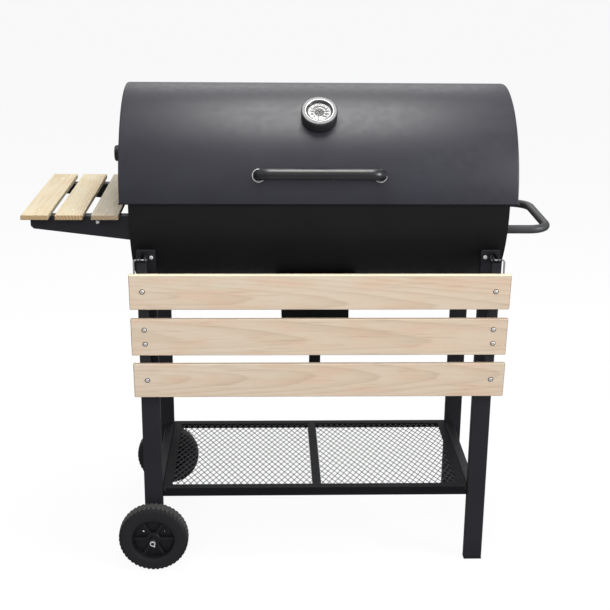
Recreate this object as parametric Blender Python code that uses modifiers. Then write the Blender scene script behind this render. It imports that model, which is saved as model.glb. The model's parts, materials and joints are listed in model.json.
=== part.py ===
"""Barrel charcoal grill on a two-wheeled stand, with a side shelf and a fold-down front shelf.

Metres, +Z up, the front towards -Y. The model is laid out round the middle of the barrel, whose axis
runs along X, and its root empty then brings the middle of its footprint to the origin.
"""
from math import cos, pi, radians, sin, sqrt

import bmesh
import bpy
from mathutils import Matrix, Vector

GAP = 0.0003  # clearance between two pieces that touch
SHEET = 0.0012  # steel sheet of the barrel and the lid
TUBE_WALL = 0.0012
ROUND = 48  # steps of a large turned shape, and of half the barrel
SMALL_ROUND = 16

# Barrel and lid
AXIS_Z = 0.840
BARREL_RADIUS = 0.209
BARREL_HALF_LENGTH = 0.393
RIM_WIDTH = 0.0075
LID_RADIUS = 0.215
LID_HALF_LENGTH = 0.410
LID_X = -0.0012
LID_EDGE_RADIUS = 0.004
ASH_OPENING = (0.110, 0.160)

# Stand
LEG_WIDTH, LEG_DEPTH = 0.040, 0.020
LEG_OUTER_X = 0.382
STAND_HALF_DEPTH = 0.190
LEG_TOP_Z = 0.736
LEFT_LEG_BOTTOM_Z = 0.050
FOOT_HEIGHT = 0.004
BAR = 0.020
SHELF_TOP_Z = 0.182
SHELF_HALF_DEPTH = 0.1855
SHELF_BAR_X = 0.0033
ANGLE_WALL = 0.0020
MESH_THICKNESS = 0.0012

# Wheels
WHEEL_RADIUS = 0.0775
WHEEL_WIDTH = 0.038
WHEEL_GAP = 0.005
TYRE_INNER_RADIUS = 0.046
HUB_RECESS = 0.007  # of its rim and web behind the tyre's face
BOSS_REACH = 0.010  # of the hub's middle beyond the tyre's face
AXLE_RADIUS = 0.004
AXLE_Z = WHEEL_RADIUS
WHEEL_X = -LEG_OUTER_X + LEG_WIDTH / 2
WHEEL_Y = STAND_HALF_DEPTH + WHEEL_GAP + WHEEL_WIDTH / 2
NUT_FLATS, NUT_THICKNESS = 0.013, 0.0065

# Left side shelf
SIDE_TOP_Z = 0.812
SIDE_PLANK_WIDTH, SIDE_PLANK_LENGTH, SIDE_PLANK_THICKNESS = 0.056, 0.401, 0.010
SIDE_PLANKS = (("outer", -0.5850, radians(-0.5)), ("middle", -0.5155, radians(-0.35)),
               ("inner", -0.4425, radians(-0.1)))  # name, middle and turn
SIDE_ARM_TIP_X = -0.601
SIDE_ARM_Y = 0.165
SIDE_ARM_FLANGE = 0.0255
SIDE_ARM_TIP_HEIGHT, SIDE_ARM_ROOT_HEIGHT = 0.0265, 0.051

# Push handle on the right
PUSH_Z = 0.762
PUSH_Y, PUSH_HALF_WIDTH = 0.003, 0.121
PUSH_REACH_X = 0.5005
PUSH_TUBE_RADIUS = 0.0092
PUSH_BEND = 0.044

# Front shelf, hanging from its pins
PIN_Y, PIN_Z = -STAND_HALF_DEPTH - 0.050, 0.728
PIN_RADIUS = 0.002
PIN_TAIL = 0.045
SHELF_LEAN = radians(4.5)
ARM_X, ARM_WIDTH, ARM_DEPTH = 0.3655, 0.020, 0.016
ARM_ABOVE_PIN, ARM_BELOW_PIN = 0.007, 0.297
ARM_FRONT_EDGE, ARM_BACK_EDGE = -0.0035, -0.013  # of the walls between its two ears, from the pin
PLANK_HALF_LENGTH, PLANK_THICKNESS = 0.3945, 0.0095
FRONT_PLANKS = (("top", 0.0260, 0.0775, 0.002), ("middle", 0.1249, 0.083, 0.002),
                ("bottom", 0.2280, 0.078, 0.0035))  # name, drop from the pin, width and middle
BRACKET_INNER_X, BRACKET_WIDTH, BRACKET_SHEET = 0.342, 0.040, 0.002
TONGUES = (-0.0060, 0.0035)  # middles of the bracket's tongues, outward from the arm's middle

# Lid fittings
HANDLE_ANGLE = radians(15.5)
HANDLE_HALF_WIDTH = 0.125
HANDLE_STANDOFF = 0.051
HANDLE_TUBE_RADIUS = 0.0115
HANDLE_BEND = 0.026
WASHER_RADIUS = 0.016
GAUGE_ANGLE = radians(49.5)
GAUGE_RADIUS = 0.0385
GAUGE_WINDOW_RADIUS = 0.030
GAUGE_BODY_HEIGHT = 0.018
GAUGE_BEZEL_HEIGHT = 0.009
NEEDLE_REST = radians(172)  # from straight up, anticlockwise
VENT_Z = AXIS_Z + 0.062
VENT_DISC_RADIUS = 0.042
VENT_HOLE_RADIUS, VENT_HOLE_CIRCLE = 0.010, 0.027
VENT_KNOB_LENGTH = 0.028
HINGE_Y, HINGE_Z = 0.2235, AXIS_Z - 0.001
HINGE_X = 0.250
HINGE_KNUCKLE_RADIUS, HINGE_ROD_RADIUS = 0.0045, 0.0020

# Ash drawer under the barrel
ASH_X = -0.003
ASH_SIZE = (0.147, 0.230, 0.080)
ASH_TOP_Z = 0.6295
ASH_FLANGE = 0.010
ASH_SHEET = 0.0015
STRAP_WIDTH, STRAP_BOTTOM_Z, STRAP_TOP_Z = 0.025, 0.440, 0.612

# Grates
COOKING_GRATE_SIZE = (0.383, 0.390, 0.004)
COOKING_GRATE_TOP_Z = AXIS_Z - 0.020
CHARCOAL_GRATE_SIZE = (0.600, 0.300, 0.005)
CHARCOAL_GRATE_BOTTOM_Z = AXIS_Z - 0.1425
GRATE_BORDER = 0.008
GRATE_OPEN_SHARE = 0.68  # of the pitch between bars


# ---------------------------------------------------------------- scene helpers

def collection(name):
    made = bpy.data.collections.new(name)
    bpy.context.scene.collection.children.link(made)
    return made


def material(name, colour, roughness, metallic=0.0):
    made = bpy.data.materials.new(name)
    made.use_nodes = True
    shader = made.node_tree.nodes["Principled BSDF"]
    shader.inputs["Base Color"].default_value = (*colour, 1.0)
    shader.inputs["Roughness"].default_value = roughness
    shader.inputs["Metallic"].default_value = metallic
    return made


def empty(name, location=(0, 0, 0), rotation=(0, 0, 0), parent=None):
    made = bpy.data.objects.new(name, None)
    made.location, made.rotation_euler, made.parent = location, rotation, parent
    PARTS.objects.link(made)
    return made


def place(name, mesh, look, location=(0, 0, 0), rotation=(0, 0, 0), parent=None):
    """A sub-part: the mesh as an object of that name, under the root unless a parent is given."""
    made = bpy.data.objects.new(name, mesh)
    made.location, made.rotation_euler, made.parent = location, rotation, parent or ROOT
    mesh.materials.append(LOOKS[look])
    mesh.shade_smooth()
    mesh.set_sharp_from_angle(angle=radians(35))
    PARTS.objects.link(made)
    return made


def cutter(mesh, location=(0, 0, 0), rotation=(0, 0, 0), parent=None):
    made = bpy.data.objects.new("cutter", mesh)
    made.location, made.rotation_euler, made.parent = location, rotation, parent or ROOT
    made.hide_render, made.display_type = True, "WIRE"
    CUTTERS.objects.link(made)
    return made


def combine(target, other, operation):
    change = target.modifiers.new(operation.title(), "BOOLEAN")
    change.operation, change.object, change.solver = operation, other, "EXACT"


def cut(target, *others):
    for other in others:
        combine(target, other, "DIFFERENCE")


def join(target, *others):
    for other in others:
        combine(target, other, "UNION")


def bevel(target, width, segments=1):
    change = target.modifiers.new("Bevel", "BEVEL")
    change.width, change.segments, change.limit_method = width, segments, "ANGLE"
    change.angle_limit = radians(35)


# ---------------------------------------------------------------- shapes

def from_bmesh(shape):
    mesh = bpy.data.meshes.new("shape")
    shape.to_mesh(mesh)
    shape.free()
    return mesh


def box_mesh(size, centre=(0, 0, 0)):
    shape = bmesh.new()
    bmesh.ops.create_cube(shape, size=1.0, matrix=Matrix.Translation(centre) @ Matrix.Diagonal((*size, 1.0)))
    return from_bmesh(shape)


def span_mesh(low, high):
    """A box between two corners."""
    low, high = Vector(low), Vector(high)
    return box_mesh(high - low, (low + high) / 2)


def rod_mesh(radius, length, steps=SMALL_ROUND, axis="Z", centre=(0, 0, 0)):
    turn = {"X": Matrix.Rotation(pi / 2, 4, "Y"), "Y": Matrix.Rotation(pi / 2, 4, "X"), "Z": Matrix()}[axis]
    shape = bmesh.new()
    bmesh.ops.create_cone(shape, cap_ends=True, segments=steps, radius1=radius, radius2=radius, depth=length,
                          matrix=Matrix.Translation(centre) @ turn)
    return from_bmesh(shape)


def profile_mesh(points, closed):
    """The (radius, height) outline that a Screw modifier turns round Z."""
    mesh = bpy.data.meshes.new("profile")
    count = len(points)
    edges = [(i, (i + 1) % count) for i in range(count if closed else count - 1)]
    mesh.from_pydata([(radius, 0.0, height) for radius, height in points], edges, [])
    return mesh


def turned(name, points, look, closed=False, steps=ROUND, **placing):
    made = place(name, profile_mesh(points, closed), look, **placing)
    screw = made.modifiers.new("Screw", "SCREW")
    screw.steps = screw.render_steps = steps
    screw.use_merge_vertices, screw.merge_threshold = True, 0.00001
    screw.use_smooth_shade = True
    return made


def outline_mesh(points, thickness, holes=()):
    """A flat outline in XY, centred on Z = 0, as a mesh that takes Booleans."""
    curve = bpy.data.curves.new("outline", "CURVE")
    curve.dimensions, curve.fill_mode, curve.extrude = "2D", "BOTH", thickness / 2
    for loop in (points, *holes):
        spline = curve.splines.new("POLY")
        spline.points.add(len(loop) - 1)
        for point, (x, y) in zip(spline.points, loop):
            point.co = (x, y, 0.0, 1.0)
        spline.use_cyclic_u = True
    return curve_to_mesh(curve)


def curve_to_mesh(curve):
    guide = bpy.data.objects.new("guide", curve)
    bpy.context.scene.collection.objects.link(guide)
    bpy.context.view_layer.update()
    mesh = bpy.data.meshes.new_from_object(guide.evaluated_get(bpy.context.evaluated_depsgraph_get()))
    bpy.data.objects.remove(guide)
    bpy.data.curves.remove(curve)
    shape = bmesh.new()
    shape.from_mesh(mesh)
    bmesh.ops.remove_doubles(shape, verts=shape.verts, dist=0.00001)
    bmesh.ops.recalc_face_normals(shape, faces=shape.faces)
    shape.to_mesh(mesh)
    shape.free()
    mesh.materials.clear()
    return mesh


def tube(name, corners, bend, radius, look, parent=None, resolution=3, bend_steps=6):
    """A bent tube: straight runs between the corners, with a round bend at each inner one."""
    corners = [Vector(corner) for corner in corners]
    path = [corners[0]]
    for before, corner, after in zip(corners, corners[1:], corners[2:]):
        path += bend_points(before, corner, after, bend, bend_steps)
    path.append(corners[-1])
    curve = bpy.data.curves.new(name, "CURVE")
    curve.dimensions, curve.bevel_depth, curve.bevel_resolution = "3D", radius, resolution
    curve.use_fill_caps = True
    spline = curve.splines.new("POLY")
    spline.points.add(len(path) - 1)
    for point, place_at in zip(spline.points, path):
        point.co = (*place_at, 1.0)
    spline.use_smooth = True
    curve.materials.append(LOOKS[look])
    made = bpy.data.objects.new(name, curve)
    made.parent = parent or ROOT
    PARTS.objects.link(made)
    return made


def bend_points(before, corner, after, bend, steps):
    inward, outward = (before - corner).normalized(), (after - corner).normalized()
    half = inward.angle(outward) / 2
    middle = corner + (inward + outward).normalized() * (bend / sin(half))
    reach = bend * cos(half) / sin(half)
    start, end = (corner + way * reach - middle for way in (inward, outward))
    turn_axis, turn = start.cross(end), pi - 2 * half
    return [middle + Matrix.Rotation(turn * step / steps, 3, turn_axis) @ start for step in range(steps + 1)]


# ---------------------------------------------------------------- barrel

def half_barrel(name, radius, half_length, look, upper, location, parent=None, edge=0.0):
    """Half of a closed cylinder along X, open just short of its axis: its outside, then the hollow in it."""
    shell = place(name, rod_mesh(radius, 2 * half_length, ROUND * 2, "X"), look, location, parent=parent)
    seam = 0.0002
    away = span_mesh((-1, -1, -1), (1, 1, seam)) if upper else span_mesh((-1, -1, -seam), (1, 1, 1))
    inside = rod_mesh(radius - SHEET, 2 * (half_length - SHEET), ROUND * 2, "X")
    hollow = cutter(inside, location, parent=parent)
    if edge:
        bevel(shell, edge, 2)
        bevel(hollow, edge - SHEET, 2)
    cut(shell, cutter(away, location, parent=parent), hollow)
    return shell


def barrel():
    shell = half_barrel("barrel_shell", BARREL_RADIUS, BARREL_HALF_LENGTH, "barrel_paint", False,
                        (0, 0, AXIS_Z - GAP))
    rim_x, rim_y = LID_HALF_LENGTH - LID_X + SHEET, BARREL_RADIUS + RIM_WIDTH
    hole_x, hole_y = BARREL_HALF_LENGTH - SHEET, sqrt((BARREL_RADIUS - SHEET) ** 2 - SHEET ** 2)
    rim = outline_mesh(rectangle(rim_x, rim_y), SHEET, [rectangle(hole_x, hole_y)])
    join(shell, cutter(rim, (0, 0, AXIS_Z - GAP - SHEET / 2)))
    length, depth = ASH_OPENING
    cut(shell, cutter(box_mesh((length, depth, 0.100)), (ASH_X, 0, AXIS_Z - BARREL_RADIUS)))


def rectangle(half_x, half_y):
    return [(-half_x, -half_y), (half_x, -half_y), (half_x, half_y), (-half_x, half_y)]


def barrel_clearance():
    """The barrel's outside with the gap that pieces under it keep."""
    length = 2 * (BARREL_HALF_LENGTH + 0.050)
    return cutter(rod_mesh(BARREL_RADIUS + GAP, length, ROUND * 2, "X"), (0, 0, AXIS_Z - GAP))


def grate_ledges():
    top = COOKING_GRATE_TOP_Z - COOKING_GRATE_SIZE[2] - GAP
    reach, drop, half = 0.017, 0.010, BARREL_HALF_LENGTH - 0.010
    inner = sqrt((BARREL_RADIUS - SHEET) ** 2 - (AXIS_Z - top + drop) ** 2) - 2 * GAP
    for name, side in (("front", -1), ("rear", 1)):
        profile = [(inner - reach, 0), (inner, 0), (inner, -drop), (inner - SHEET, -drop),
                   (inner - SHEET, -SHEET), (inner - reach, -SHEET)]
        mesh = outline_mesh([(side * y, z) for y, z in profile], 2 * half)
        place(f"grate_ledge_{name}", mesh, "barrel_paint", (0, 0, top), (pi / 2, 0, pi / 2))


def grate(name, size, bars, location):
    """A flat grate: a border with long slots between its bars, which run from front to back."""
    length, depth, thickness = size
    made = place(name, box_mesh(size), "grate_steel", location, parent=ROOT)
    pitch = (length - 2 * GRATE_BORDER) / bars
    slot = pitch * GRATE_OPEN_SHARE
    first = -length / 2 + GRATE_BORDER + pitch / 2
    slots = box_row([first + pitch * i for i in range(bars)], (slot, depth - 2 * GRATE_BORDER, 2 * thickness))
    cut(made, cutter(slots, location))


def box_row(places, size):
    """Boxes of one size along X that don't touch, as one mesh for a single Boolean."""
    scale = Matrix.Diagonal((*size, 1.0))
    shape = bmesh.new()
    for x in places:
        bmesh.ops.create_cube(shape, size=1.0, matrix=Matrix.Translation((x, 0, 0)) @ scale)
    return from_bmesh(shape)


def grates():
    length, _, thickness = COOKING_GRATE_SIZE
    for name, side in (("left", -1), ("right", 1)):
        location = (side * (length / 2 + 0.002), 0, COOKING_GRATE_TOP_Z - thickness / 2)
        grate(f"cooking_grate_{name}", COOKING_GRATE_SIZE, 22, location)
    middle_z = CHARCOAL_GRATE_BOTTOM_Z + CHARCOAL_GRATE_SIZE[2] / 2
    grate("charcoal_grate", CHARCOAL_GRATE_SIZE, 20, (0, 0, middle_z))


# ---------------------------------------------------------------- lid

def lid():
    pivot = empty("lid_hinge", (0, HINGE_Y, HINGE_Z), parent=ROOT)
    centre = Vector((LID_X, 0, AXIS_Z)) - pivot.location
    shell = half_barrel("lid_shell", LID_RADIUS, LID_HALF_LENGTH, "lid_paint", True, centre, pivot,
                        LID_EDGE_RADIUS)
    for hole in vent_holes():
        cut(shell, cutter(rod_mesh(VENT_HOLE_RADIUS, 0.030, SMALL_ROUND, "X"), hole - pivot.location,
                          parent=pivot))
    lid_handle(pivot, centre)
    gauge(pivot, centre)
    vent(pivot)
    hinges(pivot)


def radial(angle):
    return Vector((0, -cos(angle), sin(angle)))


def lid_handle(pivot, centre):
    out = radial(HANDLE_ANGLE)
    foot, top = LID_RADIUS + GAP, LID_RADIUS + HANDLE_STANDOFF
    corners = [centre + Vector((side * HANDLE_HALF_WIDTH, 0, 0)) + out * height
               for side, height in ((-1, foot), (-1, top), (1, top), (1, foot))]
    tube("lid_handle", corners, HANDLE_BEND, HANDLE_TUBE_RADIUS, "handle_paint", pivot)
    hole, thickness = HANDLE_TUBE_RADIUS + GAP, 0.003
    ring = [(hole, thickness), (WASHER_RADIUS - 0.001, thickness), (WASHER_RADIUS, thickness - 0.001),
            (WASHER_RADIUS, 0), (hole, 0)]
    for name, side in (("left", -1), ("right", 1)):
        at = centre + Vector((side * HANDLE_HALF_WIDTH, 0, 0)) + out * (LID_RADIUS + GAP)
        turned(f"handle_washer_{name}", ring, "chrome", True, 24, location=at,
               rotation=(pi / 2 - HANDLE_ANGLE, 0, 0), parent=pivot)


def gauge(pivot, centre):
    """The thermometer, built upright on its own empty, which faces out of the lid."""
    seat = empty("gauge_seat", centre + radial(GAUGE_ANGLE) * LID_RADIUS, (pi / 2 - GAUGE_ANGLE, 0, 0), pivot)
    top, rim = GAUGE_BODY_HEIGHT, GAUGE_BEZEL_HEIGHT
    buried = -0.006
    profile = [(0, top), (GAUGE_RADIUS, top), (GAUGE_RADIUS, buried), (0, buried)]
    body = turned("gauge_body", profile, "gauge_black", parent=seat, steps=40)
    cut(body, cutter(rod_mesh(LID_RADIUS + GAP, 0.2, ROUND * 2, "X"), centre, parent=pivot))
    base = top + GAP
    window = GAUGE_WINDOW_RADIUS
    bezel = [(window, base + rim - 0.001), (window + 0.001, base + rim),
             (GAUGE_RADIUS - 0.003, base + rim - 0.0015), (GAUGE_RADIUS - 0.0005, base + rim - 0.0045),
             (GAUGE_RADIUS, base), (window, base)]
    turned("gauge_bezel", bezel, "chrome", True, 40, parent=seat)
    disc = window - GAP
    turned("gauge_dial", [(0, base + 0.001), (disc, base + 0.001), (disc, base), (0, base)], "dial_white",
           parent=seat, steps=40)
    glass = base + 0.0055
    turned("gauge_glass", [(0, glass + 0.0015), (disc, glass + 0.0015), (disc, glass), (0, glass)],
           "gauge_glass", parent=seat, steps=40)
    needle = outline_mesh([(-0.0012, -0.007), (0.0012, -0.007), (0.0004, 0.024), (-0.0004, 0.024)], 0.0006)
    pointer = place("gauge_needle", needle, "needle_paint", (0, 0, base + 0.0025), (0, 0, NEEDLE_REST), seat)
    join(pointer, cutter(rod_mesh(0.0025, 0.002), (0, 0, base + 0.0025), parent=seat))


def vent_holes():
    face = LID_X - LID_HALF_LENGTH
    return [Vector((face, VENT_HOLE_CIRCLE * cos(a), VENT_Z + VENT_HOLE_CIRCLE * sin(a)))
            for a in (pi / 4 + quarter * pi / 2 for quarter in range(4))]


def vent(pivot):
    """The damper disc that turns over the holes in the lid's left end, and the knob on it."""
    face = Vector((LID_X - LID_HALF_LENGTH - GAP, 0, VENT_Z)) - pivot.location
    thickness = SHEET
    disc = place("vent_disc", rod_mesh(VENT_DISC_RADIUS, thickness, 32, "X", (-thickness / 2, 0, 0)),
                 "lid_paint", face, parent=pivot)
    for hole in vent_holes():
        cut(disc, cutter(rod_mesh(VENT_HOLE_RADIUS, 0.030, SMALL_ROUND, "X"), hole - pivot.location,
                         parent=pivot))
    tip, seat = VENT_KNOB_LENGTH, GAP
    knob = [(0, tip), (0.0150, tip), (0.0175, tip - 0.0025), (0.0175, tip - 0.009), (0.0110, tip - 0.018),
            (0.0110, seat), (0, seat)]
    turned("vent_knob", knob, "knob_black", steps=24, location=face - Vector((thickness, 0, 0)),
           rotation=(0, -pi / 2, 0), parent=pivot)


def hinges(pivot):
    """Two hinges at the back: a welded ear with its rod on the barrel, a forked leaf on the lid."""
    knuckle, fork = 0.020, 0.012
    for name, x in (("left", -HINGE_X), ("right", HINGE_X)):
        ear = place(f"barrel_hinge_{name}", rod_mesh(HINGE_KNUCKLE_RADIUS, knuckle, SMALL_ROUND, "X"),
                    "barrel_paint", (x, HINGE_Y, HINGE_Z))
        plate_top = AXIS_Z - GAP - SHEET - GAP
        plate = span_mesh((-knuckle / 2, BARREL_RADIUS + 0.0008, plate_top - 0.002),
                          (knuckle / 2, HINGE_Y, plate_top))
        rod = rod_mesh(HINGE_ROD_RADIUS, knuckle + 2 * fork + 0.006, SMALL_ROUND, "X")
        join(ear, cutter(plate, (x, 0, 0)), cutter(rod, (x, HINGE_Y, HINGE_Z)))

        leaf_y = LID_RADIUS + 0.0005 - HINGE_Y
        leaf_low, leaf_high = 0.0020, 0.040
        half = knuckle / 2 + GAP + fork
        flat = span_mesh((-half, leaf_y, leaf_low), (half, leaf_y + 0.002, leaf_high))
        leaf = place(f"lid_hinge_{name}", flat, "lid_paint", (x, 0, 0), parent=pivot)
        for side in (-1, 1):
            middle, web_half = side * (knuckle / 2 + GAP + fork / 2), fork / 2 - 0.0005
            web = span_mesh((middle - web_half, leaf_y + 0.0005, 0.0012), (middle + web_half, 0.0, 0.0042))
            barrel_of = rod_mesh(HINGE_KNUCKLE_RADIUS, fork, SMALL_ROUND, "X", (middle, 0, 0))
            join(leaf, cutter(barrel_of, (x, 0, 0), parent=pivot), cutter(web, (x, 0, 0), parent=pivot))
        bore = rod_mesh(HINGE_ROD_RADIUS + 0.0001, 0.080, SMALL_ROUND, "X")
        knuckle_room = rod_mesh(HINGE_KNUCKLE_RADIUS + GAP, knuckle + 2 * GAP, SMALL_ROUND, "X")
        cut(leaf, cutter(bore, (x, 0, 0), parent=pivot), cutter(knuckle_room, (x, 0, 0), parent=pivot))


# ---------------------------------------------------------------- stand

def hollow_bar(name, low, high, open_axis, look="frame_paint", edge=0.0015):
    """A square or rectangular tube between two corners, open at both ends of one axis."""
    low, high = Vector(low), Vector(high)
    centre = (low + high) / 2
    bar = place(name, box_mesh(high - low), look, centre)
    bevel(bar, edge)
    inside = high - low - 2 * Vector((TUBE_WALL,) * 3)
    inside[open_axis] += 0.050
    cut(bar, cutter(box_mesh(inside), centre))
    return bar


def legs():
    inner_x, front_y = LEG_OUTER_X - LEG_WIDTH, STAND_HALF_DEPTH
    for side_name, side in (("left", -1), ("right", 1)):
        bottom = LEFT_LEG_BOTTOM_Z if side < 0 else FOOT_HEIGHT + GAP
        low_x, high_x = sorted((side * inner_x, side * LEG_OUTER_X))
        for end_name, end in (("front", -1), ("rear", 1)):
            low_y, high_y = sorted((end * front_y, end * (front_y - LEG_DEPTH)))
            leg = hollow_bar(f"leg_{end_name}_{side_name}", (low_x, low_y, bottom),
                             (high_x, high_y, LEG_TOP_Z), 2)
            cut(leg, barrel_clearance())
            if side < 0:
                axle_hole = rod_mesh(AXLE_RADIUS + GAP, 0.100, SMALL_ROUND, "Y")
                cut(leg, cutter(axle_hole, (WHEEL_X, end * front_y, AXLE_Z)))
            else:
                foot(f"foot_{end_name}_right", ((low_x + high_x) / 2, (low_y + high_y) / 2, 0))


def foot(name, location):
    """A plastic cap under the leg, with its plug inside the tube."""
    cap = place(name, box_mesh((LEG_WIDTH, LEG_DEPTH, FOOT_HEIGHT), (0, 0, FOOT_HEIGHT / 2)), "plastic_black",
                location)
    inside = 2 * (TUBE_WALL + GAP)
    plug = box_mesh((LEG_WIDTH - inside, LEG_DEPTH - inside, 0.018), (0, 0, 0.010))
    join(cap, cutter(plug, location))


def crossbars():
    outer, inner = LEG_OUTER_X - LEG_WIDTH + BAR, LEG_OUTER_X - LEG_WIDTH
    reach = STAND_HALF_DEPTH - LEG_DEPTH - GAP
    for name, side in (("left", -1), ("right", 1)):
        low_x, high_x = sorted((side * (inner + GAP), side * outer))
        hollow_bar(f"crossbar_{name}", (low_x, -reach, SHELF_TOP_Z - BAR), (high_x, reach, SHELF_TOP_Z), 1)


def lower_shelf():
    """The welded frame of angle between the legs, a flat middle bar, and the expanded metal under them."""
    half_x, half_y = LEG_OUTER_X - LEG_WIDTH - GAP, SHELF_HALF_DEPTH
    middle_z = SHELF_TOP_Z - BAR / 2
    field = half_x - BAR
    windows = [rectangle_between(SHELF_BAR_X + side * BAR / 2, side * field, half_y - BAR)
               for side in (-1, 1)]
    frame = place("shelf_frame", outline_mesh(rectangle(half_x, half_y), BAR, windows), "frame_paint",
                  (0, 0, middle_z))
    bevel(frame, 0.0010)
    room_x, room_y = half_x - ANGLE_WALL, half_y - ANGLE_WALL
    room = span_mesh((-room_x, -room_y, SHELF_TOP_Z - 2 * BAR), (room_x, room_y, SHELF_TOP_Z - ANGLE_WALL))
    cut(frame, cutter(room))
    mesh_size = (2 * (room_x - GAP), 2 * (room_y - GAP), MESH_THICKNESS)
    mesh_z = SHELF_TOP_Z - ANGLE_WALL - GAP - MESH_THICKNESS / 2
    place("shelf_mesh", box_mesh(mesh_size), "mesh_steel", (0, 0, mesh_z))


def rectangle_between(start_x, end_x, half_y):
    low, high = sorted((start_x, end_x))
    return [(low, -half_y), (high, -half_y), (high, half_y), (low, half_y)]


def wheels():
    for name, end in (("front", -1), ("rear", 1)):
        centre = (WHEEL_X, end * WHEEL_Y, AXLE_Z)
        facing = (pi / 2, 0, 0) if end < 0 else (-pi / 2, 0, 0)
        tyre(f"tyre_{name}", centre, facing)
        hub(f"hub_{name}", centre, facing)
        nut(f"axle_nut_{name}", end)
    rod_length = 2 * (WHEEL_Y + WHEEL_WIDTH / 2 + BOSS_REACH + NUT_THICKNESS + 0.0015)
    place("axle_rod", rod_mesh(AXLE_RADIUS, rod_length, SMALL_ROUND, "Y"), "zinc", (WHEEL_X, 0, AXLE_Z))


def tyre(name, centre, facing):
    outer, half, inner = WHEEL_RADIUS, WHEEL_WIDTH / 2, TYRE_INNER_RADIUS + GAP
    wall = outer - 0.007
    side = [(inner, half - 0.0015), (inner + 0.006, half), (wall, half - 0.0005),
            (wall + 0.0055, half - 0.0035), (outer, half - 0.0095)]
    loop = side + [(radius, -height) for radius, height in reversed(side)]
    turned(name, loop, "tyre_rubber", True, location=centre, rotation=facing)


def hub(name, centre, facing):
    """A moulded hub: a rim, a web with six ribs on each face, and a boss that reaches to the leg."""
    rim, half = TYRE_INNER_RADIUS, WHEEL_WIDTH / 2
    boss, bore = 0.009, AXLE_RADIUS + 0.00006
    well, web = rim - 0.005, 0.003
    rib, rim_face = half - HUB_RECESS, half - 0.002
    front, back = half + BOSS_REACH, half + WHEEL_GAP - 2 * GAP
    loop = [(bore, front), (boss, front), (boss, web), (well, web), (well, rim_face), (rim, rim_face),
            (rim, -rim_face), (well, -rim_face), (well, -web), (boss, -web), (boss, -back), (bore, -back)]
    made = turned(name, loop, "hub_plastic", True, 32, location=centre, rotation=facing)
    middle, reach = (well + boss) / 2, well - boss + 0.004
    for turn in range(3):
        blades = box_row((-middle, middle), (reach, 0.004, 2 * rib))
        blades.transform(Matrix.Rotation(turn * pi / 3, 4, "Z"))
        join(made, cutter(blades, centre, facing))


def nut(name, end):
    outer = NUT_FLATS / 2 / cos(pi / 6)
    y = end * (WHEEL_Y + WHEEL_WIDTH / 2 + BOSS_REACH + GAP + NUT_THICKNESS / 2)
    made = place(name, rod_mesh(outer, NUT_THICKNESS, 6, "Y"), "zinc", (WHEEL_X, y, AXLE_Z))
    bevel(made, 0.0006)
    cut(made, cutter(rod_mesh(AXLE_RADIUS + GAP, 0.020, SMALL_ROUND, "Y"), (WHEEL_X, y, AXLE_Z)))


def push_handle():
    start = BARREL_HALF_LENGTH + GAP
    near, far = PUSH_Y - PUSH_HALF_WIDTH, PUSH_Y + PUSH_HALF_WIDTH
    corners = [(start, near, PUSH_Z), (PUSH_REACH_X, near, PUSH_Z), (PUSH_REACH_X, far, PUSH_Z),
               (start, far, PUSH_Z)]
    tube("push_handle", corners, PUSH_BEND, PUSH_TUBE_RADIUS, "handle_paint")


# ---------------------------------------------------------------- shelves

def side_shelf():
    for name, x, turn in SIDE_PLANKS:
        size = (SIDE_PLANK_WIDTH, SIDE_PLANK_LENGTH, SIDE_PLANK_THICKNESS)
        plank = place(f"side_plank_{name}", box_mesh(size), "side_wood",
                      (x, 0, SIDE_TOP_Z - SIDE_PLANK_THICKNESS / 2), (0, 0, turn))
        bevel(plank, 0.001)
    top = SIDE_TOP_Z - SIDE_PLANK_THICKNESS - GAP
    root_x, tip_x, lap = -BARREL_HALF_LENGTH - GAP, SIDE_ARM_TIP_X, 0.0005
    tip_z, root_z = top - SIDE_ARM_TIP_HEIGHT, top - SIDE_ARM_ROOT_HEIGHT
    for name, end in (("front", -1), ("rear", 1)):
        web = [(tip_x, top - lap), (tip_x, tip_z + 0.006), (tip_x + 0.006, tip_z), (root_x - lap, root_z),
               (root_x - lap, top - lap)]
        arm = place(f"side_arm_{name}", outline_mesh(web, BRACKET_SHEET), "frame_paint",
                    (0, end * SIDE_ARM_Y, 0), (pi / 2, 0, 0))
        low_y, high_y = sorted((end * SIDE_ARM_Y, end * (SIDE_ARM_Y - SIDE_ARM_FLANGE)))
        flange = span_mesh((tip_x + lap, low_y, top - BRACKET_SHEET), (root_x - lap, high_y, top))
        end_plate = span_mesh((root_x - BRACKET_SHEET, low_y + lap, root_z + lap),
                              (root_x, high_y - lap, top - lap))
        join(arm, cutter(flange), cutter(end_plate))


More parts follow.
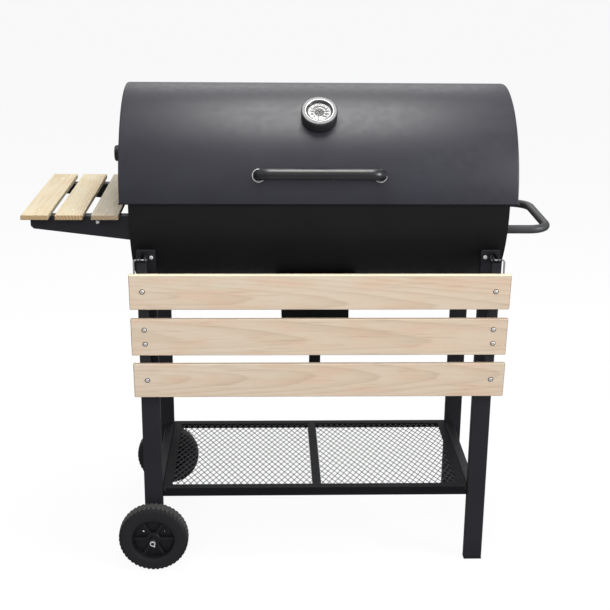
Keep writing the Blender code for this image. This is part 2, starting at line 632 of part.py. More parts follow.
def front_shelf():
    """Three planks on two arms that swing on bent pins, leaning in a little as they hang."""
    pivot = empty("front_shelf_hinge", (0, PIN_Y, PIN_Z), (SHELF_LEAN, 0, 0), ROOT)
    for name, side in (("left", -1), ("right", 1)):
        x = side * ARM_X
        height = ARM_ABOVE_PIN + ARM_BELOW_PIN
        at = (x, 0, (ARM_ABOVE_PIN - ARM_BELOW_PIN) / 2)
        arm = place(f"shelf_arm_{name}", box_mesh((ARM_WIDTH, ARM_DEPTH, height)), "frame_paint", at,
                    parent=pivot)
        bevel(arm, 0.0015)
        walls = 2 * TUBE_WALL
        inside = box_mesh((ARM_WIDTH - walls, ARM_DEPTH - walls, height + 0.020))
        pin_hole = rod_mesh(PIN_RADIUS + GAP, 0.060, SMALL_ROUND, "X")
        fork = ARM_WIDTH / 2 - TUBE_WALL
        notches = [span_mesh((-fork, low_y, edge), (fork, high_y, 0.050))
                   for low_y, high_y, edge in ((-0.030, 0.001, ARM_FRONT_EDGE), (0, 0.030, ARM_BACK_EDGE))]
        cut(arm, cutter(inside, at, parent=pivot), cutter(pin_hole, (x, 0, 0), parent=pivot),
            *(cutter(notch, (x, 0, 0), parent=pivot) for notch in notches))
        bracket(f"shelf_bracket_{name}", side)
        bent_pin(f"shelf_pin_{name}", side)
    y = -ARM_DEPTH / 2 - GAP - PLANK_THICKNESS / 2
    for name, drop, width, x in FRONT_PLANKS:
        plank = place(f"front_plank_{name}", box_mesh((2 * PLANK_HALF_LENGTH, PLANK_THICKNESS, width)),
                      "front_wood", (x, y, -drop - width / 2), parent=pivot)
        bevel(plank, 0.0015)


def bracket(name, side):
    """A back plate on the front of the leg, with two tongues that reach into the arm's fork."""
    back_y, nose = -STAND_HALF_DEPTH - GAP, 0.0060
    low_x, high_x = sorted((side * BRACKET_INNER_X, side * (BRACKET_INNER_X + BRACKET_WIDTH)))
    top_z, plate_z = PIN_Z + 0.0045, PIN_Z - 0.046
    plate = span_mesh((low_x, back_y - BRACKET_SHEET, plate_z), (high_x, back_y, top_z))
    made = place(name, plate, "frame_paint")
    root_y = back_y - BRACKET_SHEET / 2
    round_nose = [(PIN_Y - nose * sin(angle), PIN_Z + nose * cos(angle))
                  for angle in (pi * step / 8 for step in range(9))]
    outline = round_nose + [(root_y, PIN_Z - 0.018), (root_y, top_z - 0.0005)]
    for offset in TONGUES:
        tongue = outline_mesh(outline, BRACKET_SHEET)
        tongue.transform(Matrix(((0, 0, 1), (1, 0, 0), (0, 1, 0))).to_4x4())
        join(made, cutter(tongue, (side * (ARM_X + offset), 0, 0)))
    cut(made, cutter(rod_mesh(PIN_RADIUS + GAP, 0.060, SMALL_ROUND, "X"), (side * ARM_X, PIN_Y, PIN_Z)))


def bent_pin(name, side):
    inner_x, tail_x = ARM_X - ARM_WIDTH / 2 - 0.001, ARM_X + ARM_WIDTH / 2 + 0.0065
    corners = [(side * inner_x, PIN_Y, PIN_Z), (side * tail_x, PIN_Y, PIN_Z),
               (side * tail_x, PIN_Y, PIN_Z - PIN_TAIL)]
    tube(name, corners, 0.0028, PIN_RADIUS, "pin_steel", resolution=2, bend_steps=5)


# ---------------------------------------------------------------- ash drawer

def ash_drawer():
    length, depth, height = ASH_SIZE
    low, top = ASH_TOP_Z - height, ASH_TOP_Z
    flange_x = length / 2 + ASH_FLANGE
    tray = place("ash_box", span_mesh((-length / 2, -depth / 2, low), (length / 2, depth / 2, top)),
                 "ash_steel", (ASH_X, 0, 0))
    join(tray, cutter(span_mesh((-flange_x, -depth / 2, top - ASH_SHEET), (flange_x, depth / 2, top)),
                      (ASH_X, 0, 0)))
    wall = ASH_SHEET
    cut(tray, cutter(span_mesh((-length / 2 + wall, -depth / 2 + wall, low + wall),
                               (length / 2 - wall, depth / 2 - wall, top + 0.010)), (ASH_X, 0, 0)))
    strap_y = -depth / 2 - GAP
    strap = place("ash_strap", span_mesh((-STRAP_WIDTH / 2, strap_y - 0.0025, STRAP_BOTTOM_Z),
                                         (STRAP_WIDTH / 2, strap_y, STRAP_TOP_Z)), "ash_steel", (ASH_X, 0, 0))
    bevel(strap, 0.0006)
    for name, side in (("left", -1), ("right", 1)):
        rail = ash_rail(side, flange_x, top - ASH_SHEET - GAP, depth / 2 - 0.005)
        made = place(f"ash_rail_{name}", rail, "frame_paint", (ASH_X, 0, 0), (pi / 2, 0, 0))
        cut(made, barrel_clearance())


def ash_rail(side, flange_x, lip_top, half_depth):
    """An angle that hangs from the barrel, with its lip under the tray's flange."""
    inner, outer = flange_x - ASH_FLANGE + 0.002, flange_x + 0.001 + ASH_SHEET
    profile = [(inner, lip_top), (outer - ASH_SHEET, lip_top), (outer - ASH_SHEET, AXIS_Z - 0.160),
               (outer, AXIS_Z - 0.160), (outer, lip_top - ASH_SHEET), (inner, lip_top - ASH_SHEET)]
    return outline_mesh([(side * x, z) for x, z in profile], 2 * half_depth)


# ---------------------------------------------------------------- assembly

def centre_footprint():
    """Move the root so that the floor under the middle of the bounding box is the origin."""
    bpy.context.view_layer.update()
    depsgraph = bpy.context.evaluated_depsgraph_get()
    corners = []
    for part in PARTS.objects:
        if part.type != "EMPTY":
            solid = part.evaluated_get(depsgraph)
            mesh = solid.to_mesh()
            corners += [solid.matrix_world @ vertex.co for vertex in mesh.vertices]
            solid.to_mesh_clear()
    middle = [(min(c[axis] for c in corners) + max(c[axis] for c in corners)) / 2 for axis in (0, 1)]
    ROOT.location = (-middle[0], -middle[1], -min(c[2] for c in corners))


for old in list(bpy.data.objects):
    bpy.data.objects.remove(old)

PARTS = collection("barrel_grill")
CUTTERS = collection("cutters")
LOOKS = {
    "barrel_paint": material("barrel_paint", (0.012, 0.012, 0.013), 0.55),
    "lid_paint": material("lid_paint", (0.050, 0.050, 0.055), 0.42),
    "frame_paint": material("frame_paint", (0.014, 0.014, 0.015), 0.5),
    "handle_paint": material("handle_paint", (0.030, 0.030, 0.032), 0.38),
    "front_wood": material("front_wood", (0.70, 0.52, 0.38), 0.6),
    "side_wood": material("side_wood", (0.80, 0.66, 0.42), 0.6),
    "grate_steel": material("grate_steel", (0.35, 0.35, 0.36), 0.35, 1.0),
    "mesh_steel": material("mesh_steel", (0.10, 0.10, 0.11), 0.5, 0.6),
    "ash_steel": material("ash_steel", (0.015, 0.015, 0.016), 0.5),
    "chrome": material("chrome", (0.75, 0.75, 0.76), 0.12, 1.0),
    "zinc": material("zinc", (0.62, 0.63, 0.65), 0.3, 1.0),
    "pin_steel": material("pin_steel", (0.05, 0.05, 0.055), 0.35, 0.8),
    "gauge_black": material("gauge_black", (0.02, 0.02, 0.022), 0.4),
    "dial_white": material("dial_white", (0.82, 0.82, 0.80), 0.5),
    "gauge_glass": material("gauge_glass", (0.9, 0.9, 0.9), 0.05),
    "needle_paint": material("needle_paint", (0.09, 0.09, 0.09), 0.4),
    "knob_black": material("knob_black", (0.015, 0.015, 0.016), 0.4),
    "plastic_black": material("plastic_black", (0.02, 0.02, 0.02), 0.6),
    "tyre_rubber": material("tyre_rubber", (0.018, 0.018, 0.019), 0.75),
    "hub_plastic": material("hub_plastic", (0.014, 0.014, 0.015), 0.5),
}
ROOT = empty("grill")

barrel()
grate_ledges()
grates()
lid()
legs()
crossbars()
lower_shelf()
wheels()
push_handle()
side_shelf()
front_shelf()
ash_drawer()
centre_footprint()
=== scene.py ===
"""The looks of the barrel charcoal grill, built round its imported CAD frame.

Metres, +Z up, the front towards -Y. Every new piece has its vertices in the row frame, so object
coordinates in the materials are places on the grill, and they move with the body a piece rides on.
"""

import json
from math import atan2, cos, pi, radians, sin

import bmesh
import bpy
from mathutils import Matrix, Vector

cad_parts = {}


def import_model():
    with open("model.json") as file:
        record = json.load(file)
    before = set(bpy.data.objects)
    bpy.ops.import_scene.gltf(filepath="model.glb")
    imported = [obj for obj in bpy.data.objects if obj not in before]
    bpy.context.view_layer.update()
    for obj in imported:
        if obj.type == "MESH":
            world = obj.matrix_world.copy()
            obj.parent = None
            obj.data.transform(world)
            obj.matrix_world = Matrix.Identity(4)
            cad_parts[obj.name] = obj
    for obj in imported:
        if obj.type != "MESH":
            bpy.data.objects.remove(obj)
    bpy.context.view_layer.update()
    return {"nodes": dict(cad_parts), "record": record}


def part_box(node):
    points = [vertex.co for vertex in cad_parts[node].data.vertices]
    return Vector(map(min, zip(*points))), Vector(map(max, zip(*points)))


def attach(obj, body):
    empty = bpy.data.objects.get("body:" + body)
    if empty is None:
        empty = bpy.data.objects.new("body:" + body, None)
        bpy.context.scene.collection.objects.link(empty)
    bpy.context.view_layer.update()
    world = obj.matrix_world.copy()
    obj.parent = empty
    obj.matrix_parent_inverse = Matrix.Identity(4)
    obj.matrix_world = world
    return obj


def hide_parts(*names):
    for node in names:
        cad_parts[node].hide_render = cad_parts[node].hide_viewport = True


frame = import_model()

LEAN = radians(4.5)  # of the hanging front shelf
GAUGE_TILT = radians(49.5)  # of the thermometer's axis above the horizontal
HANDLE_TILT = radians(15.5)  # of the lid handle's feet above the horizontal
BARREL_AXIS_Z = 0.840
LID_RADIUS = 0.215
LID_GAP = 0.0002  # what stands on the lid keeps this far off it
PIN_Z = 0.728  # the axis the front shelf hangs on
NUT_REACH = 0.0293  # from the middle of a tyre to the back of its nut
SMOOTH_ANGLE = 35  # degrees: flatter edges than this are shaded smooth


def low(node):
    """The least corner of a CAD node's box."""
    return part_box(node)[0]


def high(node):
    """The greatest corner of a CAD node's box."""
    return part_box(node)[1]


def centre(node):
    return (low(node) + high(node)) / 2


MIDDLE = centre("barrel_shell")


# ---------------------------------------------------------------- materials

class Look:
    """A material, with short calls for the nodes that feed its Principled shader."""

    def __init__(self, name, roughness=0.5, metallic=0.0, specular=0.5, colour=(0.5, 0.5, 0.5)):
        self.material = bpy.data.materials.new(name)
        self.material.use_nodes = True
        self.tree = self.material.node_tree
        self.shader = self.tree.nodes["Principled BSDF"]
        self.set("Roughness", roughness)
        self.set("Metallic", metallic)
        self.set("Specular IOR Level", specular)
        self.set("Base Color", (*colour, 1.0))
        self.here = self.node("ShaderNodeTexCoord").outputs["Object"]

    def set(self, socket, value):
        self.shader.inputs[socket].default_value = value

    def node(self, kind, **settings):
        made = self.tree.nodes.new(kind)
        for name, value in settings.items():
            setattr(made, name, value)
        return made

    def feed(self, socket, value):
        if hasattr(value, "links"):
            self.tree.links.new(value, socket)
        else:
            socket.default_value = value

    def noise(self, scale, detail=2.0, at=None, rough=0.5):
        made = self.node("ShaderNodeTexNoise")
        self.feed(made.inputs["Vector"], at or self.here)
        made.inputs["Scale"].default_value = scale
        made.inputs["Detail"].default_value = detail
        made.inputs["Roughness"].default_value = rough
        return made.outputs["Fac"]

    def math(self, operation, a, b=0.0):
        made = self.node("ShaderNodeMath", operation=operation)
        self.feed(made.inputs[0], a)
        self.feed(made.inputs[1], b)
        return made.outputs[0]

    def product(self, a, b):
        return self.math("MULTIPLY", a, b)

    def distance(self, a, b):
        """How far a point is from an axis, from its two coordinates across that axis."""
        return self.math("SQRT", self.math("ADD", self.product(a, a), self.product(b, b)))

    def split(self, vector):
        """The three coordinates of a vector."""
        made = self.node("ShaderNodeSeparateXYZ")
        self.feed(made.inputs[0], vector)
        return made.outputs

    def drawn_out(self, axis, length, origin=(0.0, 0.0, 0.0), tilt=(0.0, 0.0, 0.0)):
        """Object coordinates stretched along one axis, from an origin and with a tilt."""
        made = self.node("ShaderNodeMapping", vector_type="TEXTURE")
        self.feed(made.inputs["Vector"], self.here)
        stretch = Vector((1.0, 1.0, 1.0))
        stretch[axis] = length
        made.inputs["Location"].default_value = origin
        made.inputs["Rotation"].default_value = tilt
        made.inputs["Scale"].default_value = stretch
        return made.outputs["Vector"]

    def spread(self, value, low, high, start=0.0, end=1.0):
        """value from start to end becomes low to high."""
        made = self.node("ShaderNodeMapRange")
        for socket, number in zip(made.inputs, (value, start, end, low, high)):
            self.feed(socket, number)
        return made.outputs["Result"]

    def ramp(self, value, *stops):
        """Colours or greys at places from 0 to 1."""
        made = self.node("ShaderNodeValToRGB")
        self.feed(made.inputs["Fac"], value)
        band = made.color_ramp
        while len(band.elements) < len(stops):
            band.elements.new(1.0)
        for element, (position, colour) in zip(band.elements, stops):
            element.position = position
            element.color = (*(colour if hasattr(colour, "__len__") else (colour,) * 3), 1.0)
        return made.outputs["Color"]

    def mix(self, amount, a, b, blend="MIX"):
        made = self.node("ShaderNodeMix", data_type="RGBA", blend_type=blend)
        self.feed(made.inputs[0], amount)
        for socket, value in ((made.inputs[6], a), (made.inputs[7], b)):
            self.feed(socket, value if hasattr(value, "links") else (*value, 1.0))
        return made.outputs[2]

    def colour(self, value):
        self.feed(self.shader.inputs["Base Color"], value)

    def rough(self, value):
        self.feed(self.shader.inputs["Roughness"], value)

    def bump(self, height, distance, strength=1.0):
        made = self.node("ShaderNodeBump")
        made.inputs["Strength"].default_value = strength
        made.inputs["Distance"].default_value = distance
        self.feed(made.inputs["Height"], height)
        self.feed(self.shader.inputs["Normal"], made.outputs["Normal"])


def shade(colour, factor):
    return tuple(channel * factor for channel in colour)


def paint(name, colour, roughness, specular=0.35, texture=0.00003, scale=900, clouds=0.12):
    """Sprayed paint or powder coat: fine orange peel, with slight clouds in its colour and gloss."""
    look = Look(name, roughness, specular=specular)
    cloud = look.noise(7, 3)
    look.colour(look.ramp(cloud, (0.3, shade(colour, 1 - clouds)), (0.7, shade(colour, 1 + clouds))))
    look.rough(look.spread(look.noise(60, 3), roughness - 0.05, roughness + 0.05, 0.3, 0.7))
    look.bump(look.noise(scale, 2), texture)
    return look.material


def metal(name, colour, roughness, metallic=1.0, scratch=0.08):
    """Plated steel: rolled streaks in its gloss and a faint mottle."""
    look = Look(name, roughness, metallic)
    mottle = look.noise(180, 3)
    look.colour(look.ramp(mottle, (0.3, shade(colour, 0.86)), (0.7, colour)))
    look.rough(look.spread(look.noise(400, 2), roughness - scratch / 2, roughness + scratch, 0.3, 0.7))
    look.bump(mottle, 0.00002)
    return look.material


def moulded(name, colour, roughness, specular=0.4, grain=0.00005, scale=1500):
    """Moulded plastic or rubber with a fine matt grain."""
    look = Look(name, roughness, specular=specular)
    look.colour(look.ramp(look.noise(25, 2), (0.3, shade(colour, 0.88)), (0.7, shade(colour, 1.12))))
    grains = look.noise(scale, 2)
    look.rough(look.spread(grains, roughness - 0.04, roughness + 0.08, 0.3, 0.7))
    look.bump(grains, grain)
    return look.material


def wood(name, along, pith, tilt, spacing, palette, strength, ends, shift=None, highlight_above=None):
    """Sawn pine: year rings round a pith that runs along one axis, fibres, and broad tone changes.

    palette is its pale wood, warmer wood, year lines and blushed patches. ends are where its end grain
    begins, shift is (axis, from, to) over which its lines come up, and highlight_above is the height
    above which the wood is painted pale, a painted highlight where light falls on a top edge.
    """
    pale, warm, line, blush = palette
    look = Look(name, 0.58, specular=0.25)
    here = look.split(look.here)

    # Broad tones and blushed patches, which run a little along the plank
    grain_space = look.drawn_out(along, 14.0, pith, tilt)
    tone = look.mix(look.ramp(look.noise(5.5, 3, grain_space), (0.35, 0.0), (0.65, 1.0)), pale, warm)
    patches = look.noise(34, 3, look.drawn_out(along, 3.5))
    tone = look.mix(look.ramp(patches, (0.45, 0.0), (0.66, 0.85)), tone, blush)
    streaks = look.noise(210, 2, look.drawn_out(along, 22.0))
    tone = look.mix(look.ramp(streaks, (0.60, 0.0), (0.72, min(strength, 0.4))), tone, line)

    # Year lines: each ring darkens slowly to its late wood, and starts pale again
    across = [coordinate for axis, coordinate in enumerate(look.split(grain_space)) if axis != along]
    wander = look.spread(look.noise(22, 3, grain_space), -0.006, 0.006)
    radius = look.math("ADD", look.distance(*across), wander)
    ring = look.math("FRACT", look.math("DIVIDE", radius, spacing))
    late = look.ramp(ring, (0.0, 0.0), (0.35, 0.06), (0.80, 0.55), (0.93, 1.0), (1.0, 0.0))
    fade = look.ramp(look.noise(9, 2, grain_space), (0.30, 0.15), (0.62, 1.0))
    lines = look.product(look.product(late, fade), strength)
    if shift:
        axis, start, end = shift
        lines = look.product(lines, look.spread(here[axis], 0.08, 1.0, start, end))
    grained = look.mix(lines, tone, line)

    # End grain is darker, with its rings drawn harder
    sawn = look.math("MAXIMUM", look.math("LESS_THAN", here[along], ends[0]),
                     look.math("GREATER_THAN", here[along], ends[1]))
    end_pale = tuple(channel * part for channel, part in zip(warm, (0.66, 0.56, 0.46)))
    end_lines = look.product(late, min(1.0, 0.5 + strength))
    grained = look.mix(sawn, grained, look.mix(end_lines, end_pale, shade(line, 0.50)))
    # Painted highlight: above that height the wood is painted a pale cream, as if lit from above
    if highlight_above:
        grained = look.mix(look.math("GREATER_THAN", here[2], highlight_above), grained, (0.78, 0.68, 0.51))

    fibres = look.noise(1300, 2, look.drawn_out(along, 60.0), 0.6)
    fine = look.ramp(fibres, (0.3, (0.93, 0.92, 0.90)), (0.6, (1.0, 1.0, 1.0)))
    look.colour(look.mix(1.0, grained, fine, "MULTIPLY"))
    look.rough(look.spread(late, 0.62, 0.50))
    look.bump(look.math("ADD", fibres, look.product(late, 0.6)), 0.00012)
    return look.material


def tyre_look():
    """Black rubber whose lugs are paler, with a mottle, than the grooves and the side walls."""
    look = Look("tyre_rubber", 0.62, specular=0.35)
    here, middle = look.split(look.here), centre("tyre_front")
    radius = look.distance(*(look.math("SUBTRACT", here[axis], middle[axis]) for axis in (0, 2)))
    tread_tone = look.mix(look.noise(260, 3), (0.040, 0.040, 0.039), (0.085, 0.084, 0.080))
    look.colour(look.mix(look.spread(radius, 0.0, 1.0, 0.0752, 0.0764), (0.0125, 0.0123, 0.0140), tread_tone))
    look.bump(look.noise(900, 3), 0.00010)
    return look.material


def glass():
    """Clear glass that bends light too little to hide the dial."""
    look = Look("gauge_glass", 0.03, specular=0.5, colour=(1.0, 1.0, 1.0))
    look.set("Transmission Weight", 1.0)
    look.set("IOR", 1.1)
    look.rough(look.spread(look.noise(300, 2), 0.01, 0.05, 0.3, 0.7))
    return look.material


def dial():
    """White enamel with a slight mottle."""
    look = Look("dial_white", 0.45, colour=(0.8, 0.8, 0.8))
    look.colour(look.ramp(look.noise(90, 2), (0.3, (0.55, 0.55, 0.54)), (0.7, (0.62, 0.62, 0.61))))
    look.bump(look.noise(2500, 2), 0.00001)
    return look.material


BLACK = (0.0085, 0.0085, 0.0092)
LOOKS = {
    "barrel_paint": paint("barrel_paint", (0.0080, 0.0078, 0.0085), 0.50, 0.22),
    "lid_paint": paint("lid_paint", (0.0190, 0.0185, 0.0260), 0.43, 0.66),
    "frame_paint": paint("frame_paint", (0.0150, 0.0145, 0.0178), 0.42, 0.34, 0.00004, 1300),
    # A darker copy of the frame paint for the lower shelf's frame: painted shade
    "shelf_paint_shaded": paint("shelf_paint_shaded", (0.0066, 0.0064, 0.0080), 0.50, 0.13, 0.00004, 1300),
    "handle_paint": paint("handle_paint", (0.0085, 0.0085, 0.0098), 0.32, 0.90, 0.00003, 1300),
    "ash_steel": paint("ash_steel", BLACK, 0.50, 0.25),
    "mesh_steel": paint("mesh_steel", (0.048, 0.048, 0.052), 0.45, 0.40),
    "push_paint": paint("push_paint", (0.036, 0.036, 0.038), 0.46, 0.70, 0.00003, 1300),
    "grate_steel": metal("grate_steel", (0.42, 0.42, 0.43), 0.34),
    "chrome": metal("chrome", (0.115, 0.115, 0.118), 0.24, 0.75, 0.07),
    "washer_chrome": metal("washer_chrome", (0.85, 0.85, 0.86), 0.25, 0.55, 0.05),
    "zinc": metal("zinc", (0.80, 0.80, 0.80), 0.32, 0.45),
    "nut_steel": metal("nut_steel", (0.10, 0.10, 0.105), 0.35, 0.6),
    "screw_zinc": metal("screw_zinc", (0.78, 0.76, 0.74), 0.20, 0.55),
    "pin_steel": metal("pin_steel", (0.42, 0.42, 0.43), 0.22, 0.6),
    "needle_paint": paint("needle_paint", (0.10, 0.10, 0.10), 0.4),
    "gauge_black": moulded("gauge_black", (0.014, 0.014, 0.015), 0.36, 0.5),
    "knob_black": moulded("knob_black", (0.010, 0.010, 0.011), 0.38, 0.45),
    "plastic_black": moulded("plastic_black", (0.016, 0.016, 0.017), 0.55),
    "tyre_rubber": tyre_look(),
    "hub_plastic": moulded("hub_plastic", (0.0092, 0.0092, 0.0108), 0.42, 0.38),
    "gauge_glass": glass(),
    "dial_white": dial(),
}
INK = paint("dial_ink", (0.02, 0.02, 0.02), 0.5)
DIAL_GREY = paint("dial_grey", (0.085, 0.085, 0.085), 0.5)
# Near black for the axle: painted shade that darkens the bore in the middle of each nut
AXLE_BORE_SHADE = paint("axle_bore_shade", (0.02, 0.02, 0.02), 0.6)
# Dark brown for the ring round each screw head on the front planks
DARK_SCREW_RING = paint("screw_hole", (0.060, 0.038, 0.026), 0.6)

# Palettes for wood()
PINK_PINE = ((0.625, 0.550, 0.440), (0.605, 0.500, 0.390), (0.40, 0.285, 0.195), (0.615, 0.455, 0.345))
YELLOW_PINE = ((0.64, 0.565, 0.415), (0.61, 0.520, 0.355), (0.32, 0.185, 0.105), (0.60, 0.490, 0.325))
# The inner side plank's palette is greyer and darker than the others: painted shade from the lid above it
LID_SHADED_PINE = ((0.55, 0.505, 0.415), (0.50, 0.450, 0.360), (0.27, 0.205, 0.150), (0.47, 0.410, 0.315))


# ---------------------------------------------------------------- making pieces

def finish_mesh(shape, angle=SMOOTH_ANGLE):
    """The bmesh as a mesh with outward normals, smooth across edges flatter than an angle in degrees."""
    bmesh.ops.recalc_face_normals(shape, faces=shape.faces)
    mesh = bpy.data.meshes.new("piece")
    shape.to_mesh(mesh)
    shape.free()
    mesh.shade_smooth()
    mesh.set_sharp_from_angle(angle=radians(angle))
    return mesh


def piece(name, mesh, look, body, slot, *replaced):
    """A piece whose mesh is already in place in the row frame."""
    made = bpy.data.objects.new(name, mesh)
    bpy.context.scene.collection.objects.link(made)
    mesh.materials.clear()
    mesh.materials.append(look)
    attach(made, body)
    if replaced:
        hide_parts(*replaced)
    return made


def turn(axis):
    """A rotation that takes +Z to axis."""
    return Vector(axis).to_track_quat("Z", "Y").to_matrix().to_4x4()


def following(loop):
    """Each item of a closed loop, with the next one."""
    return zip(loop, loop[1:] + loop[:1])


def circle(steps):
    """The angles of that many equal steps round a circle."""
    return [2 * pi * step / steps for step in range(steps)]


def tube(shape, loops):
    """Join closed loops of corners, one after another, by four-sided faces."""
    for one, other in zip(loops, loops[1:]):
        for (a, b), (d, c) in zip(following(one), following(other)):
            shape.faces.new((a, b, c, d))


def lathed(points, steps, place=Matrix(), ring=False):
    """The mesh of (radius, height) points turned round Z. A ring is closed; else its ends lie on Z."""
    shape = bmesh.new()
    loops = []
    for radius, height in points:
        if radius == 0:
            loops.append([shape.verts.new(place @ Vector((0, 0, height)))] * steps)
        else:
            loops.append([shape.verts.new(place @ Vector((radius * cos(a), radius * sin(a), height)))
                          for a in circle(steps)])
    for one, other in zip(loops, loops[1:] + (loops[:1] if ring else [])):
        for (a, b), (d, c) in zip(following(one), following(other)):
            shape.faces.new(list(dict.fromkeys((a, b, c, d))))
    return finish_mesh(shape)


def bend_path(corners, bend, steps=10):
    """Points along straight runs with a round bend at each inner corner."""
    corners = [Vector(corner) for corner in corners]
    path = [corners[0]]
    for before, corner, after in zip(corners, corners[1:], corners[2:]):
        inward, outward = (before - corner).normalized(), (after - corner).normalized()
        half = inward.angle(outward) / 2
        middle = corner + (inward + outward).normalized() * (bend / sin(half))
        reach = bend * cos(half) / sin(half)
        start = corner + inward * reach - middle
        axis = start.cross(corner + outward * reach - middle)
        path += [middle + Matrix.Rotation((pi - 2 * half) * step / steps, 3, axis) @ start
                 for step in range(steps + 1)]
    path.append(corners[-1])
    return path


def sweep(shape, path, radius, sides=24):
    """A round bar along a path, with flat ends."""
    loops = []
    tangents = [(after - before).normalized()
                for before, after in zip([path[0]] + path[:-1], path[1:] + [path[-1]])]
    side = tangents[0].orthogonal().normalized()
    for point, tangent in zip(path, tangents):
        side = (side - tangent * side.dot(tangent)).normalized()
        other = tangent.cross(side)
        loops.append([shape.verts.new(point + (side * cos(a) + other * sin(a)) * radius)
                      for a in circle(sides)])
    tube(shape, loops)
    shape.faces.new(loops[0])
    shape.faces.new(loops[-1])


def rod(radius, half_length, steps, place=Matrix()):
    """A plain round rod along Z, with Z = 0 at its middle."""
    return lathed([(0, half_length), (radius, half_length), (radius, -half_length), (0, -half_length)], steps,
                  place)


def block(shape, size, place=Matrix(), edge=0.0):
    """A box, with its edges rounded if edge is given."""
    made = bmesh.ops.create_cube(shape, size=1.0, matrix=place @ Matrix.Diagonal((*size, 1.0)))["verts"]
    if edge:
        edges = list(dict.fromkeys(e for v in made for e in v.link_edges))
        bmesh.ops.bevel(shape, geom=edges, offset=edge, segments=2, profile=0.5, affect="EDGES")


def prism(shape, outline, bottom, top, place=Matrix()):
    """A flat outline drawn up from one height to another."""
    loops = [[shape.verts.new(place @ Vector((x, y, z))) for x, y in outline] for z in (bottom, top)]
    tube(shape, loops)
    shape.faces.new(loops[0])
    shape.faces.new(loops[1])


def settled(made):
    """The mesh of an object, with its modifiers applied or its text turned to faces."""
    bpy.context.view_layer.update()
    return bpy.data.meshes.new_from_object(made.evaluated_get(bpy.context.evaluated_depsgraph_get()))


def carve(mesh, *cutters):
    """The mesh less the cutter meshes."""
    body = bpy.data.objects.new("carved", mesh)
    tools = [bpy.data.objects.new("tool", cutter) for cutter in cutters]
    for one in (body, *tools):
        bpy.context.scene.collection.objects.link(one)
    for tool in tools:
        change = body.modifiers.new("cut", "BOOLEAN")
        change.operation, change.object, change.solver = "DIFFERENCE", tool, "EXACT"
    made = settled(body)
    for one in (body, *tools):
        bpy.data.objects.remove(one)
    made.shade_smooth()
    made.set_sharp_from_angle(angle=radians(SMOOTH_ANGLE))
    return made


def copies(mesh, places):
    """One mesh with a copy of the given one at each matrix."""
    shape = bmesh.new()
    for place in places:
        one = mesh.copy()
        one.transform(place)
        shape.from_mesh(one)
        bpy.data.meshes.remove(one)
    return finish_mesh(shape)


# ---------------------------------------------------------------- CAD nodes that stay

def smoother():
    """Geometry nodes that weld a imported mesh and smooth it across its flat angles."""
    group = bpy.data.node_groups.new("smooth_by_angle", "GeometryNodeTree")
    group.interface.new_socket("Geometry", in_out="INPUT", socket_type="NodeSocketGeometry")
    group.interface.new_socket("Geometry", in_out="OUTPUT", socket_type="NodeSocketGeometry")
    make = group.nodes.new
    start, end, merge = make("NodeGroupInput"), make("NodeGroupOutput"), make("GeometryNodeMergeByDistance")
    faces, edges = make("GeometryNodeSetShadeSmooth"), make("GeometryNodeSetShadeSmooth")
    angle, small = make("GeometryNodeInputMeshEdgeAngle"), make("FunctionNodeCompare")
    merge.inputs["Distance"].default_value = 0.00001
    edges.domain = "EDGE"
    small.operation = "LESS_THAN"
    small.inputs[1].default_value = radians(SMOOTH_ANGLE)
    links = group.links.new
    links(start.outputs[0], merge.inputs["Geometry"])
    links(merge.outputs["Geometry"], faces.inputs["Geometry"])
    links(faces.outputs["Geometry"], edges.inputs["Geometry"])
    links(angle.outputs["Unsigned Angle"], small.inputs[0])
    links(small.outputs["Result"], edges.inputs["Shade Smooth"])
    links(edges.outputs["Geometry"], end.inputs[0])
    return group


SMOOTHER = smoother()
SLOT_OF = {row["node"]: row["material_slot"] for row in frame["record"]["subparts"]}
for node, made in frame["nodes"].items():
    made.data.materials.clear()
    # The lower shelf's frame takes the darker copy of the frame paint, a painted shade
    look = "shelf_paint_shaded" if node == "shelf_frame" else SLOT_OF[node]
    made.data.materials.append(LOOKS.get(look, LOOKS["frame_paint"]))
    normals = made.data.attributes.get("custom_normal")
    if normals:
        made.data.attributes.remove(normals)
    made.modifiers.new("Smooth", "NODES").node_group = SMOOTHER


# ---------------------------------------------------------------- planks

END_DEPTH = 0.0014  # from a plank's ends to where its long grain begins
TOP_HIGHLIGHT_DEPTH = 0.0022  # from the upper plank's top to where its painted highlight ends and its face begins


def grain(node, axis, offset, tilt, spacing, palette, strength, shift=None, highlight_above=None):
    """Give a plank its own cut of wood, whose pith lies at an offset from its middle."""
    ends = (low(node)[axis] + END_DEPTH, high(node)[axis] - END_DEPTH)
    look = wood(node, axis, centre(node) + Vector(offset), tilt, spacing, palette, strength, ends, shift,
                highlight_above)
    frame["nodes"][node].data.materials[0] = look


# The upper plank's top edge is painted pale, a painted highlight where the overhead light falls on it
grain("front_plank_top", 0, (0.05, 0.030, -0.022), (0.0, 0.035, 0.050), 0.0085, PINK_PINE, 0.34,
      highlight_above=high("front_plank_top").z - TOP_HIGHLIGHT_DEPTH)
grain("front_plank_middle", 0, (-0.10, 0.090, 0.010), (0.0, 0.010, 0.020), 0.0060, PINK_PINE, 0.42)
grain("front_plank_bottom", 0, (0.16, 0.045, 0.015), (0.0, -0.025, 0.060), 0.0080, PINK_PINE, 0.36)
grain("side_plank_outer", 1, (-0.010, 0.0, -0.060), (0.012, 0.0, 0.0), 0.0045, YELLOW_PINE, 0.22)
striped = centre("side_plank_middle").x
grain("side_plank_middle", 1, (-0.055, 0.0, -0.018), (0.010, 0.0, 0.030), 0.0062, YELLOW_PINE, 0.95,
      (0, striped, striped + 0.022))
# The inner side plank takes the greyer, darker palette, a painted shade from the lid
grain("side_plank_inner", 1, (0.012, 0.0, 0.030), (0.02, 0.0, -0.008), 0.0050, LID_SHADED_PINE, 0.45)


# ---------------------------------------------------------------- fasteners

